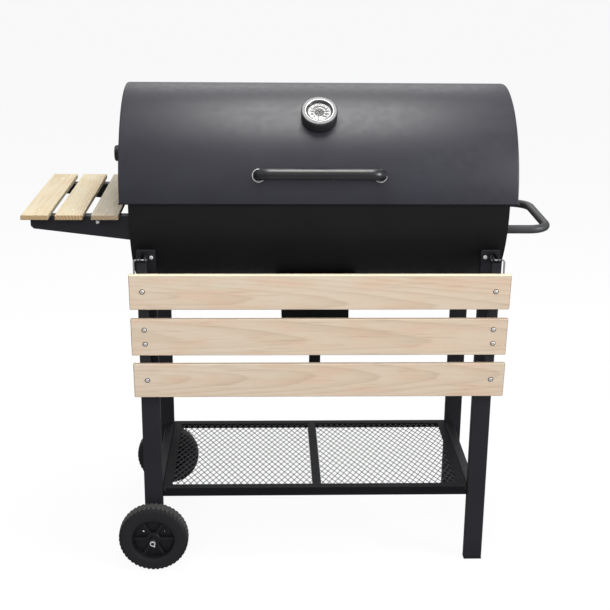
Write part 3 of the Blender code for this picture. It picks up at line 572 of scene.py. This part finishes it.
def cross_screw(radius, height):
    """A domed head on Z = 0 with a cross recess."""
    crown = [(radius * cos(a), height * (0.15 + 0.85 * sin(a)))
             for a in (radians(15 * step) for step in reversed(range(6)))]
    head = lathed([(0, height), *crown, (radius, 0), (0, 0)], 32)
    slots = []
    for angle in (0.35, 0.35 + pi / 2):
        shape = bmesh.new()
        block(shape, (radius * 1.15, radius * 0.24, height), Matrix.Translation((0, 0, height * 1.05))
              @ Matrix.Rotation(angle, 4, "Z"))
        slots.append(finish_mesh(shape))
    return carve(head, *slots)


def hex_head(flats, height):
    """A hexagon nut or head with chamfered corners, on Z = 0."""
    shape = bmesh.new()
    outer = flats / 2 / cos(pi / 6)
    prism(shape, [(outer * cos(a), outer * sin(a)) for a in (pi / 3 * side for side in range(6))], 0, height)
    cone = lathed([(0, height * 1.01), (flats * 0.47, height * 1.01), (outer * 1.08, height * 0.72),
                   (outer * 1.4, height * 0.72), (outer * 1.4, height * 1.6), (0, height * 1.6)], 36)
    return carve(finish_mesh(shape), cone)


def outward(point, axis, spin=0.0):
    """The matrix that puts a fitting's foot at a point, with its +Z along an axis."""
    return Matrix.Translation(point) @ turn(axis) @ Matrix.Rotation(spin, 4, "Z")


FRONT, REAR = (0, -1, 0), (0, 1, 0)
HINGE = Vector((MIDDLE.x, centre("shelf_pin_left").y, PIN_Z))
HANG = Matrix.Translation(HINGE) @ Matrix.Rotation(LEAN, 4, "X")  # the front shelf's own frame
PLANK_FACE, ARM_X = -0.0178, 0.3655  # Y and X in that frame
SCREWS = ((0.063, 0.0), (0.149, 0.001), (0.181, 0.002), (0.2655, 0.0035))  # drop, and shift to the right
BIG_SCREW, SMALL_SCREW = (0.0044, 0.0024), (0.0030, 0.0008)  # radius and height of the head
RIVET, HINGE_RIVET = (0.0030, 0.0016), (0.0032, 0.0012)

places = [HANG @ outward((side * ARM_X + shift, PLANK_FACE, -drop), FRONT, 0.5 + 1.3 * side + 9 * drop)
          for side in (-1, 1) for drop, shift in SCREWS]
piece("front_plank_screws", copies(cross_screw(*BIG_SCREW), places), LOOKS["screw_zinc"], "front_shelf",
      "zinc")
rim = lathed([(0.0043, 0.0002), (0.0057, 0.0002), (0.0061, -0.0004), (0.0043, -0.0004)], 32, ring=True)
piece("screw_hole_rims", copies(rim, places), DARK_SCREW_RING, "front_shelf", "zinc")

BRACKET_SCREWS = ((-0.3506, 0.7196), (0.3506, 0.7206))  # X from the middle, and Z
bracket_face = high("shelf_bracket_left").y - 0.002
places = [outward((MIDDLE.x + x, bracket_face, z), FRONT, 0.9 + 3 * x) for x, z in BRACKET_SCREWS]
piece("bracket_screws", copies(cross_screw(*BIG_SCREW), places), LOOKS["zinc"], "stand", "zinc")


def plank_screws():
    """Small countersunk screws where the side planks cross their arms."""
    places = [outward((centre(plank).x, centre(arm).y, high(plank).z - 0.0002), (0, 0, 1), spin)
              for spin, plank in enumerate(("side_plank_outer", "side_plank_middle", "side_plank_inner"))
              for arm in ("side_arm_front", "side_arm_rear")]
    return copies(cross_screw(*SMALL_SCREW), places)


piece("side_plank_screws", plank_screws(), LOOKS["screw_zinc"], "stand", "zinc")


# ---------------------------------------------------------------- lower shelf

SHORTEST_PART = 0.02  # of a strand that is cut at the frame


def clipped(a, b, corner, far):
    """The part of the flat segment a-b inside the box, or None if next to nothing is."""
    start, end = 0.0, 1.0
    way = b - a
    for axis in (0, 1):
        if abs(way[axis]) < 1e-9:
            if not corner[axis] <= a[axis] <= far[axis]:
                return None
            continue
        enter, leave = sorted(((corner[axis] - a[axis]) / way[axis], (far[axis] - a[axis]) / way[axis]))
        start, end = max(start, enter), min(end, leave)
    return (a + way * start, a + way * end) if end - start > SHORTEST_PART else None


STRAND_PITCH, STRAND_LENGTH = 0.0142, 0.0270  # one diamond, across and from front to back
STRAND_WIDTH, STRAND_THICKNESS = 0.0009, 0.0008
STRAND_BOND = 0.0010  # half of how far two strands run side by side
STRAND_TWIST = 0.00025  # how far a strand's long edges stand above and below its middle


def strand(shape, a, b, level):
    """A flat bar from a to b, a little past both, tilted as the metal's stretching leaves it."""
    way = (b - a).normalized()
    side = Vector((-way.y, way.x)) * STRAND_WIDTH / 2
    a, b = a - way * STRAND_WIDTH * 0.3, b + way * STRAND_WIDTH * 0.3
    tilt = STRAND_TWIST if way.x > 0 else -STRAND_TWIST
    corners = [(*(a + side), tilt), (*(a - side), -tilt), (*(b - side), -tilt), (*(b + side), tilt)]
    loops = [[shape.verts.new((x, y, level + dz + z)) for x, y, dz in corners]
             for z in (-STRAND_THICKNESS / 2, STRAND_THICKNESS / 2)]
    shape.faces.new(loops[0])
    shape.faces.new(loops[1])
    tube(shape, loops)


def expanded_metal(corner, far, level, skew):
    """Diamonds of expanded metal: strands that zigzag from front to back and meet at their corners."""
    shape = bmesh.new()
    half_pitch, half_length, inset = STRAND_PITCH / 2, STRAND_LENGTH / 2, STRAND_WIDTH * 0.40
    columns = int((far.x - corner.x) / half_pitch) + 3
    rows = int((far.y - corner.y) / half_length) + 12
    for column in range(-1, columns):
        sunk = 0.0001 * (column % 2)
        path = []
        for row in range(-6, rows):
            right = (column + row) % 2
            x = corner.x + (column + right) * half_pitch + (-inset if right else inset)
            y = corner.y + row * half_length
            path += [Vector((x, y + bond + skew * (x - corner.x))) for bond in (-STRAND_BOND, STRAND_BOND)]
        for a, b in zip(path, path[1:]):
            kept = clipped(a, b, corner, far)
            if kept:
                strand(shape, *kept, level - sunk)
    return finish_mesh(shape)


def shelf_mesh():
    """The two bays of the lower shelf, either side of its middle bar."""
    first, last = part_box("shelf_mesh")
    level, edge, middle = (first.z + last.z) / 2, 0.0012, MIDDLE.x + 0.0033
    bays = {"left": (first.x + edge, middle - 0.0005, 0.0),
            "right": (middle + 0.0005, last.x - edge, 0.10)}
    for name, (start, end, skew) in bays.items():
        mesh = expanded_metal(Vector((start, first.y + edge)), Vector((end, last.y - edge)), level, skew)
        replaced = ["shelf_mesh"] if name == "left" else []
        piece(f"expanded_mesh_{name}", mesh, LOOKS["mesh_steel"], "stand", "mesh_steel", *replaced)


shelf_mesh()

RIVET_INSET, RIVET_Z = 0.0035, 0.1775
places = [outward((x, low("shelf_frame").y, RIVET_Z), FRONT)
          for x in (low("shelf_frame").x + RIVET_INSET, high("shelf_frame").x - RIVET_INSET)]
piece("frame_rivets", copies(cross_screw(*RIVET), places), LOOKS["frame_paint"], "stand", "frame_paint")


# ---------------------------------------------------------------- wheels

LUGS = 46
# Where in a lug's turn the outline changes, and whether it then has the near and the far lug
LUG_SAMPLES = ((0.0, False, True), (0.04, True, True), (0.05, True, True), (0.09, True, False),
               (0.50, True, False), (0.54, False, False), (0.55, False, False), (0.59, False, True))


def tyre_loop(near_lug, far_lug):
    """The tyre's outline, as (radius, width) from the near bead round the tread to the far one."""
    def side(lug):
        """One side, which between lugs lies lower by a drop and is narrower by a cut."""
        drop, cut = (0.0, 0.0) if lug else (0.0013, 0.0016)
        return [(0.0465, 0.0160), (0.0472, 0.0176), (0.0484, 0.0180), (0.0492, 0.0176), (0.0506, 0.0184),
                (0.0530, 0.0189), (0.0600, 0.0190), (0.0670, 0.0188), (0.0698, 0.0186),
                (0.0706, 0.0184 - cut), (0.0730 - drop * 0.4, 0.0174 - cut),
                (0.0753 - drop, 0.0152 - cut * 0.6), (0.0767 - drop, 0.0122), (0.0773 - drop, 0.0085),
                (0.0738, 0.0078), (0.0738, 0.0066), (0.0770, 0.0062), (0.0774, 0.0020),
                (0.0758, 0.0016), (0.0757, 0.0004)]
    near, far = side(near_lug), side(far_lug)
    return near + [(radius, -width) for radius, width in reversed(far)]


def tyre(name, wheel, node, body, facing):
    """A solid tyre whose two rows of lugs are out of step."""
    place = Matrix.Translation(wheel) @ turn(facing)
    shape = bmesh.new()
    loops = []
    for lug in range(LUGS):
        for share, near, far in LUG_SAMPLES:
            angle = 2 * pi * (lug + share) / LUGS
            loops.append([shape.verts.new(place @ Vector((radius * cos(angle), radius * sin(angle), width)))
                          for radius, width in tyre_loop(near, far)])
    for one, other in following(loops):
        for (a, b), (d, c) in zip(following(one), following(other)):
            shape.faces.new((a, d, c, b))
    piece(name, finish_mesh(shape, 40), LOOKS["tyre_rubber"], body, "tyre_rubber", node)


def wedge(inner, outer, gap, step, count=10):
    """A pocket between two straight spokes: its outline, between two radii, half a spoke from each."""
    points = []
    for radius, sense in ((outer, 1), (inner, -1)):
        reach = sense * (pi / 6 - atan2(gap, (radius ** 2 - gap ** 2) ** 0.5))
        angles = [-reach + 2 * reach * part / count for part in range(count + 1)]
        points += [(radius * cos(a), radius * sin(a)) for a in angles]
    middle = Matrix.Rotation(step * pi / 3 + pi / 6, 2)
    return [tuple(middle @ Vector(point)) for point in points]


def hub(name, wheel, node, body, facing):
    """A moulded hub: a rim, six spokes sunk behind it between deeper pockets, and a boss with its spacer."""
    place = Matrix.Translation(wheel) @ turn(facing)
    rim, spoke, boss, nose, back = 0.0168, 0.0108, 0.0118, 0.0288, -0.0230
    outline = [(0.0041, nose), (0.0066, nose), (0.0074, nose - 0.0008), (0.0076, boss + 0.0010),
               (0.0082, boss), (0.0118, boss), (0.0126, boss - 0.0008), (0.0128, spoke), (0.0442, spoke),
               (0.0444, rim - 0.0006), (0.0447, rim), (0.0450, rim), (0.0455, rim - 0.0006),
               (0.0460, rim - 0.0012), (0.0460, 0.0012 - rim), (0.0455, 0.0006 - rim), (0.0447, -rim),
               (0.0444, -rim + 0.0006), (0.0442, -spoke), (0.0128, -spoke), (0.0118, -boss),
               (0.0088, -boss), (0.0086, back), (0.0041, back)]
    solid = lathed(outline, 96, place, True)
    web, drain_at, drain_radius = 0.0024, 0.0262, 0.0026
    tools = []
    for step in range(6):
        for bottom, top in ((web, 0.020), (-0.020, -web)):
            shape = bmesh.new()
            prism(shape, wedge(0.0152, 0.0441, 0.0030, step), bottom, top, place)
            tools.append(finish_mesh(shape))
        if step % 2 == 0:  # every other pocket has a hole through its web
            angle = step * pi / 3 + pi / 6
            at = place @ Matrix.Translation((drain_at * cos(angle), drain_at * sin(angle), 0))
            tools.append(rod(drain_radius, 0.01, 24, at))
    piece(name, carve(solid, *tools), LOOKS["hub_plastic"], body, "hub_plastic", node)


def axle_nut(wheel, facing):
    """A lock nut, and the bright collar round its open bore."""
    place = Matrix.Translation(wheel + Vector(facing) * NUT_REACH) @ turn(facing)
    collar = [(0.0041, 0.0065), (0.0056, 0.0065), (0.0061, 0.0058), (0.0062, 0.0046), (0.0046, 0.0042),
              (0.0041, 0.0042)]
    nut = carve(hex_head(0.0130, 0.0050), rod(0.0044, 0.02, 24))
    nut.transform(place)
    return nut, lathed(collar, 40, place, True)


def axle():
    """The rod between the wheels, which ends inside the nuts."""
    start, end = centre("tyre_front"), centre("tyre_rear")
    reach = (end.y - start.y) / 2 + NUT_REACH + 0.0020
    outline = [(0, reach), (0.0031, reach), (0.0035, reach - 0.0006), (0.0035, 0.0006 - reach),
               (0.0031, -reach), (0, -reach)]
    return lathed(outline, 32, outward((start + end) / 2, REAR))


for end, facing in (("front", FRONT), ("rear", REAR)):
    wheel = centre(f"tyre_{end}")
    body = f"{end}_wheel"
    tyre(f"treaded_tyre_{end}", wheel, f"tyre_{end}", body, facing)
    hub(f"spoked_hub_{end}", wheel, f"hub_{end}", body, facing)
    nut, collar = axle_nut(wheel, facing)
    piece(f"lock_nut_{end}", nut, LOOKS["nut_steel"], "stand", "zinc", f"axle_nut_{end}")
    piece(f"nut_collar_{end}", collar, LOOKS["zinc"], "stand", "zinc")
# The axle is painted near black as painted shade for the dark bore of each nut
piece("axle_bar", axle(), AXLE_BORE_SHADE, "stand", "zinc", "axle_rod")


# ---------------------------------------------------------------- handles and pins

def bar(name, corners, bend, radius, look, body, node, slot):
    """A bent round bar in place of a CAD node."""
    shape = bmesh.new()
    sweep(shape, bend_path(corners, bend), radius)
    piece(name, finish_mesh(shape, 40), LOOKS[look], body, slot, node)


def weld(name, at, axis, radius, body):
    """A bead of weld round a tube where it meets the sheet."""
    ring = [(radius - 0.0004, 0.0), (radius - 0.0004, 0.0026), (radius + 0.0008, 0.0022),
            (radius + 0.0020, 0.0010), (radius + 0.0026, 0.0)]
    place = outward(at, axis)
    piece(name, lathed(ring, 40, place, True), LOOKS["frame_paint"], body, "frame_paint")


def push_handle():
    """The bar at the right end, which lies flat, and the welds of its two feet."""
    first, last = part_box("push_handle")
    radius = 0.0092
    start, reach, z = first.x, last.x - radius, (first.z + last.z) / 2
    near, far = first.y + radius, last.y - radius
    corners = [(start, near, z), (reach, near, z), (reach, far, z), (start, far, z)]
    bar("push_handle_tube", corners, 0.044, radius, "push_paint", "stand", "push_handle", "handle_paint")
    for name, y in (("front", near), ("rear", far)):
        weld(f"handle_weld_{name}", (start - 0.0003, y, z), (1, 0, 0), radius, "stand")


def lid_handle():
    """The lid's bar handle, and the bright ferrules round its feet."""
    out = Vector((0, -cos(HANDLE_TILT), sin(HANDLE_TILT)))
    axis = Vector((centre("lid_shell").x, MIDDLE.y, BARREL_AXIS_Z))
    foot, top, half, radius = LID_RADIUS + LID_GAP, LID_RADIUS + 0.0504, 0.1245, 0.0115
    corners = [axis + Vector((side * half, 0, 0)) + out * height
               for side, height in ((-1, foot), (-1, top), (1, top), (1, foot))]
    bar("lid_handle_tube", corners, 0.026, radius, "handle_paint", "lid", "lid_handle", "handle_paint")
    ring = [(radius + 0.0002, 0.0020), (0.0130, 0.0022), (0.0138, 0.0016), (0.0140, 0.0008), (0.0140, 0.0),
            (radius + 0.0002, 0.0)]
    for name, side in (("left", -1), ("right", 1)):
        place = outward(axis + Vector((side * half, 0, 0)) + out * foot, out)
        piece(f"handle_ferrule_{name}", lathed(ring, 40, place, True), LOOKS["washer_chrome"], "lid",
              "chrome", f"handle_washer_{name}")


def bent_pin(side):
    """The wire the front shelf hangs on: straight in, and bent down at its outer end."""
    node, radius = f"shelf_pin_{side}", 0.0020
    (first, last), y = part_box(node), centre(node).y
    inner, tail = (last.x, first.x + radius) if side == "left" else (first.x, last.x - radius)
    corners = [(inner, y, PIN_Z), (tail, y, PIN_Z), (tail, y, first.z)]
    bar(f"bent_pin_{side}", corners, 0.0040, radius, "pin_steel", "stand", node, "pin_steel")


push_handle()
lid_handle()
bent_pin("left")
bent_pin("right")


# ---------------------------------------------------------------- thermometer

DIAL_HEIGHT = 0.0188  # of the dial's middle over the lid
DIAL_SEAT = centre("gauge_dial") - Vector((0, -cos(GAUGE_TILT), sin(GAUGE_TILT))) * DIAL_HEIGHT
UPRIGHT = Matrix.Translation(DIAL_SEAT) @ Matrix.Rotation(pi / 2 - GAUGE_TILT, 4, "X")
DIAL_TURN = radians(270)  # of the scale, half to each side of the top
NUMBERS, NUMBER_STEP = 11, 50
NUMBER_RADIUS, TICK_RADIUS = 0.0152, 0.0226


def turned(name, points, steps, look, slot, *replaced, ring=False, body="lid"):
    """A round piece of the thermometer, from its outline over the lid."""
    piece(name, lathed(points, steps, UPRIGHT, ring), look, body, slot, *replaced)


def number_mesh(value):
    """A number of the dial, raised a little and drawn slightly bold."""
    text = bpy.data.curves.new("number", "FONT")
    text.body, text.size, text.align_x, text.align_y = str(value), 0.0058, "CENTER", "CENTER"
    text.extrude, text.offset = 0.00012, 0.00034
    guide = bpy.data.objects.new("number", text)
    bpy.context.scene.collection.objects.link(guide)
    mesh = settled(guide)
    bpy.data.objects.remove(guide)
    return mesh


def dial_scale():
    """Long and short marks round the dial, with numbers at the long ones."""
    shape = bmesh.new()
    first, marks = -DIAL_TURN / 2, 2 * NUMBERS - 1
    for mark in range(marks):
        angle = first + DIAL_TURN * mark / (marks - 1)
        width, reach = (0.0010, 0.0030) if mark % 2 == 0 else (0.0006, 0.0018)
        block(shape, (width, reach, 0.0003), UPRIGHT @ Matrix.Rotation(-angle, 4, "Z")
              @ Matrix.Translation((0, TICK_RADIUS - reach / 2, 0.0190)))
    for number in range(NUMBERS):
        angle = first + DIAL_TURN * number / (NUMBERS - 1)
        mesh = number_mesh(NUMBER_STEP * number)
        at = Vector((NUMBER_RADIUS * sin(angle), NUMBER_RADIUS * cos(angle), 0.0191))
        mesh.transform(UPRIGHT @ Matrix.Translation(at))
        shape.from_mesh(mesh)
    return finish_mesh(shape)


def thermometer():
    """Its parts from the cup outward; the heights are over the lid."""
    cup = [(0, 0.0182), (0.0352, 0.0182), (0.0356, 0.0198), (0.0368, 0.0198), (0.0373, 0.0190),
           (0.0374, 0.0120), (0.0372, 0.0104), (0.0360, 0.0098), (0.0360, 0.0090), (0.0373, 0.0084),
           (0.0373, 0.0030), (0.0362, -0.0070), (0, -0.0070)]
    lid_axis = Matrix.Translation((MIDDLE.x, MIDDLE.y, BARREL_AXIS_Z)) @ turn((1, 0, 0))
    body = carve(lathed(cup, 72, UPRIGHT), rod(LID_RADIUS + 0.0003, 0.2, 192, lid_axis))
    piece("gauge_cup", body, LOOKS["gauge_black"], "lid", "gauge_black", "gauge_body")

    bezel = [(0.0366, 0.0200), (0.0373, 0.0204), (0.0374, 0.0228), (0.0369, 0.0246), (0.0358, 0.0253),
             (0.0330, 0.0254), (0.0303, 0.0250), (0.0300, 0.0244), (0.0276, 0.0244), (0.0272, 0.0250),
             (0.0247, 0.0238), (0.0243, 0.0232), (0.0250, 0.0226), (0.0262, 0.0184), (0.0340, 0.0184),
             (0.0350, 0.0200)]
    turned("gauge_ring", bezel, 96, LOOKS["chrome"], "chrome", "gauge_bezel", ring=True)
    lip = [(0.0298, 0.0246), (0.0298, 0.0256), (0.0293, 0.0262), (0.0285, 0.0262), (0.0279, 0.0256),
           (0.0278, 0.0246)]
    turned("gauge_lip", lip, 96, LOOKS["washer_chrome"], "chrome", ring=True)
    # A black liner on the wall inside the ring; its black is partly painted shade for the dark crescent at
    # the top of the dial's well
    liner = [(0.0246, 0.0230), (0.0242, 0.0230), (0.0242, 0.0184), (0.0248, 0.0184), (0.0249, 0.0222)]
    turned("gauge_liner", liner, 72, LOOKS["gauge_black"], "gauge_black", ring=True)

    disc = [(0, 0.0190), (0.0237, 0.0190), (0.0237, 0.0185), (0, 0.0185)]
    turned("gauge_face", disc, 64, LOOKS["dial_white"], "dial_white", "gauge_dial")
    pane = [(0, 0.0234), (0.0235, 0.0232), (0.0235, 0.0226), (0, 0.0228)]
    turned("gauge_pane", pane, 64, LOOKS["gauge_glass"], "gauge_glass", "gauge_glass")
    grey = [(0, 0.01915), (0.0105, 0.01915), (0.0105, 0.0189), (0, 0.0189)]
    turned("gauge_centre_disc", grey, 48, DIAL_GREY, "dial_white")
    cap = [(0, 0.0222), (0.0018, 0.0220), (0.0026, 0.0212), (0.0026, 0.0200), (0, 0.0200)]
    turned("gauge_needle_cap", cap, 32, LOOKS["chrome"], "chrome", body="needle")
    piece("gauge_scale", dial_scale(), INK, "lid", "dial_white")


thermometer()


# ---------------------------------------------------------------- grates

def rod_grate(name, node, pitch, cross_at):
    """Welded rods in the box of a flat CAD grate, inside a border rod and over two cross rods."""
    first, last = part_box(node)
    radius, z = (last.z - first.z) / 2, (first.z + last.z) / 2
    left, right, near, far = first.x + radius, last.x - radius, first.y + radius, last.y - radius
    middle = (left + right) / 2
    border = [(middle, near, z), (right, near, z), (right, far, z), (left, far, z), (left, near, z),
              (middle - 0.0005, near, z)]
    shape = bmesh.new()
    sweep(shape, bend_path(border, 0.012, 6), radius, 12)
    count = round((right - left) / pitch)
    for step in range(1, count):
        x = left + (right - left) * step / count
        sweep(shape, [Vector((x, near, z)), Vector((x, far, z))], radius * 0.85, 10)
    low_z = z - radius * 1.4
    for y in ((near + far) / 2 - cross_at, (near + far) / 2 + cross_at):
        sweep(shape, [Vector((left, y, low_z)), Vector((right, y, low_z))], radius * 0.9, 10)
    piece(name, finish_mesh(shape, 50), LOOKS["grate_steel"], node, "grate_steel", node)


# Each loose grate is a body of its own, named like its node
rod_grate("cooking_rods_left", "cooking_grate_left", 0.0135, 0.09)
rod_grate("cooking_rods_right", "cooking_grate_right", 0.0135, 0.09)
rod_grate("charcoal_rods", "charcoal_grate", 0.022, 0.07)


# ---------------------------------------------------------------- small stand fittings

def arm_plugs():
    """Domed plugs in the open lower ends of the front shelf's arms."""
    shape = bmesh.new()
    for side in (-1, 1):
        at = HANG @ Matrix.Translation((side * ARM_X, 0, -0.2935))
        block(shape, (0.0166, 0.0126, 0.0070), at, 0.0018)
    return finish_mesh(shape)


def hook_peg():
    """The small bright peg under the inner plank, on the front arm."""
    points = [(0, 0.0085), (0.0022, 0.0082), (0.0038, 0.0068), (0.0042, 0.0050), (0.0036, 0.0034),
              (0.0022, 0.0028), (0.0022, 0), (0, 0)]
    return lathed(points, 24, outward((MIDDLE.x - 0.4613, low("side_arm_front").y, 0.7908), FRONT))


def hinge_rivets():
    """Four on the back of each lid hinge."""
    places = [outward((centre(node).x + x, high(node).y, z), REAR, x * 90)
              for node in ("lid_hinge_left", "lid_hinge_right")
              for x in (-0.013, 0.013) for z in (0.855, 0.870)]
    return copies(cross_screw(*HINGE_RIVET), places)


piece("shelf_arm_plugs", arm_plugs(), LOOKS["frame_paint"], "front_shelf", "frame_paint")
piece("hook_peg", hook_peg(), LOOKS["zinc"], "stand", "zinc")
piece("lid_hinge_rivets", hinge_rivets(), LOOKS["zinc"], "lid", "zinc")


# ---------------------------------------------------------------- studio

def camera_choice(tree, seen, reflected, end):
    """Send one shader to the camera and another to every other ray, and the choice to the end socket."""
    choice, rays = tree.nodes.new("ShaderNodeMixShader"), tree.nodes.new("ShaderNodeLightPath")
    tree.links.new(rays.outputs["Is Camera Ray"], choice.inputs[0])
    tree.links.new(reflected.outputs[0], choice.inputs[1])
    tree.links.new(seen.outputs[0], choice.inputs[2])
    tree.links.new(choice.outputs[0], end)


def studio_floor():
    """Almost white to the camera, with a faint shadow, but darker in what the grill reflects."""
    look = bpy.data.materials.new("floor")
    look.use_nodes = True
    nodes, links = look.node_tree.nodes, look.node_tree.links
    nodes.remove(nodes["Principled BSDF"])
    glow, pale, mirrored, seen = (nodes.new(f"ShaderNode{kind}") for kind in
                                  ("Emission", "BsdfDiffuse", "BsdfDiffuse", "AddShader"))
    glow.inputs["Color"].default_value = (0.90, 0.90, 0.90, 1)
    pale.inputs["Color"].default_value = (0.10, 0.10, 0.10, 1)
    mirrored.inputs["Color"].default_value = (0.20, 0.20, 0.21, 1)
    links.new(glow.outputs[0], seen.inputs[0])
    links.new(pale.outputs[0], seen.inputs[1])
    camera_choice(look.node_tree, seen, mirrored, nodes["Material Output"].inputs["Surface"])

    shape = bmesh.new()
    bmesh.ops.create_grid(shape, x_segments=1, y_segments=1, size=60.0,
                          matrix=Matrix.Translation((0, 0, -0.0005)))
    made = bpy.data.objects.new("floor", finish_mesh(shape))
    bpy.context.scene.collection.objects.link(made)
    made.data.materials.append(look)


def softbox(name, at, target, size, power, colour, reflected=True):
    """A rectangular light that faces its target; reflected says whether the grill mirrors it."""
    light = bpy.data.lights.new(name, "AREA")
    light.shape, light.size, light.size_y = "RECTANGLE", *size
    light.energy, light.color = power, colour
    made = bpy.data.objects.new(name, light)
    made.location = at
    made.rotation_euler = (Vector(target) - Vector(at)).to_track_quat("-Z", "Y").to_euler()
    made.visible_glossy = reflected
    bpy.context.scene.collection.objects.link(made)


def world(colour, strength):
    """White behind the grill, and dimmer as a light on it."""
    made = bpy.data.worlds.new("studio")
    made.use_nodes = True
    nodes = made.node_tree.nodes
    light, seen = nodes["Background"], nodes.new("ShaderNodeBackground")
    light.inputs["Color"].default_value = (*colour, 1)
    light.inputs["Strength"].default_value = strength
    seen.inputs["Color"].default_value = (1, 1, 1, 1)
    camera_choice(made.node_tree, seen, light, nodes["World Output"].inputs["Surface"])
    bpy.context.scene.world = made


studio_floor()
world((0.94, 0.97, 1.0), 0.42)
softbox("overhead", (0.12, -0.10, 2.75), (0.12, -0.05, 0.9), (1.4, 1.7), 42, (1.0, 0.99, 0.96))
softbox("behind", (0.1, 2.6, 2.5), (0.1, 0.0, 0.9), (2.4, 1.4), 15, (1.0, 0.99, 0.97))
softbox("front", (-0.4, -3.6, 2.2), (0.0, 0.0, 0.6), (2.6, 2.0), 122, (1.0, 0.99, 0.97), False)
softbox("right", (3.4, -1.8, 1.6), (0.1, 0.0, 0.6), (1.2, 2.0), 74, (0.97, 0.98, 1.0))


# ---------------------------------------------------------------- camera

EYE = Vector((MIDDLE.x - 0.1128, MIDDLE.y - 2.6211, 1.4227))
YAW, PITCH, ROLL = radians(1.9945), radians(18.381), radians(0.5689)  # to the right, down, right side up
LENS, SENSOR = 71.19, 36.0  # mm


def camera():
    ahead = Vector((sin(YAW) * cos(PITCH), cos(YAW) * cos(PITCH), -sin(PITCH)))
    level = Vector((cos(YAW), -sin(YAW), 0))
    above = level.cross(ahead)
    right = level * cos(ROLL) + above * sin(ROLL)
    upward = above * cos(ROLL) - level * sin(ROLL)
    data = bpy.data.cameras.new("camera")
    data.lens, data.sensor_width = LENS, SENSOR
    made = bpy.data.objects.new("camera", data)
    made.matrix_world = Matrix.Translation(EYE) @ Matrix((right, upward, -ahead)).transposed().to_4x4()
    bpy.context.scene.collection.objects.link(made)
    bpy.context.scene.camera = made


camera()
bpy.context.scene.view_settings.view_transform = "Standard"
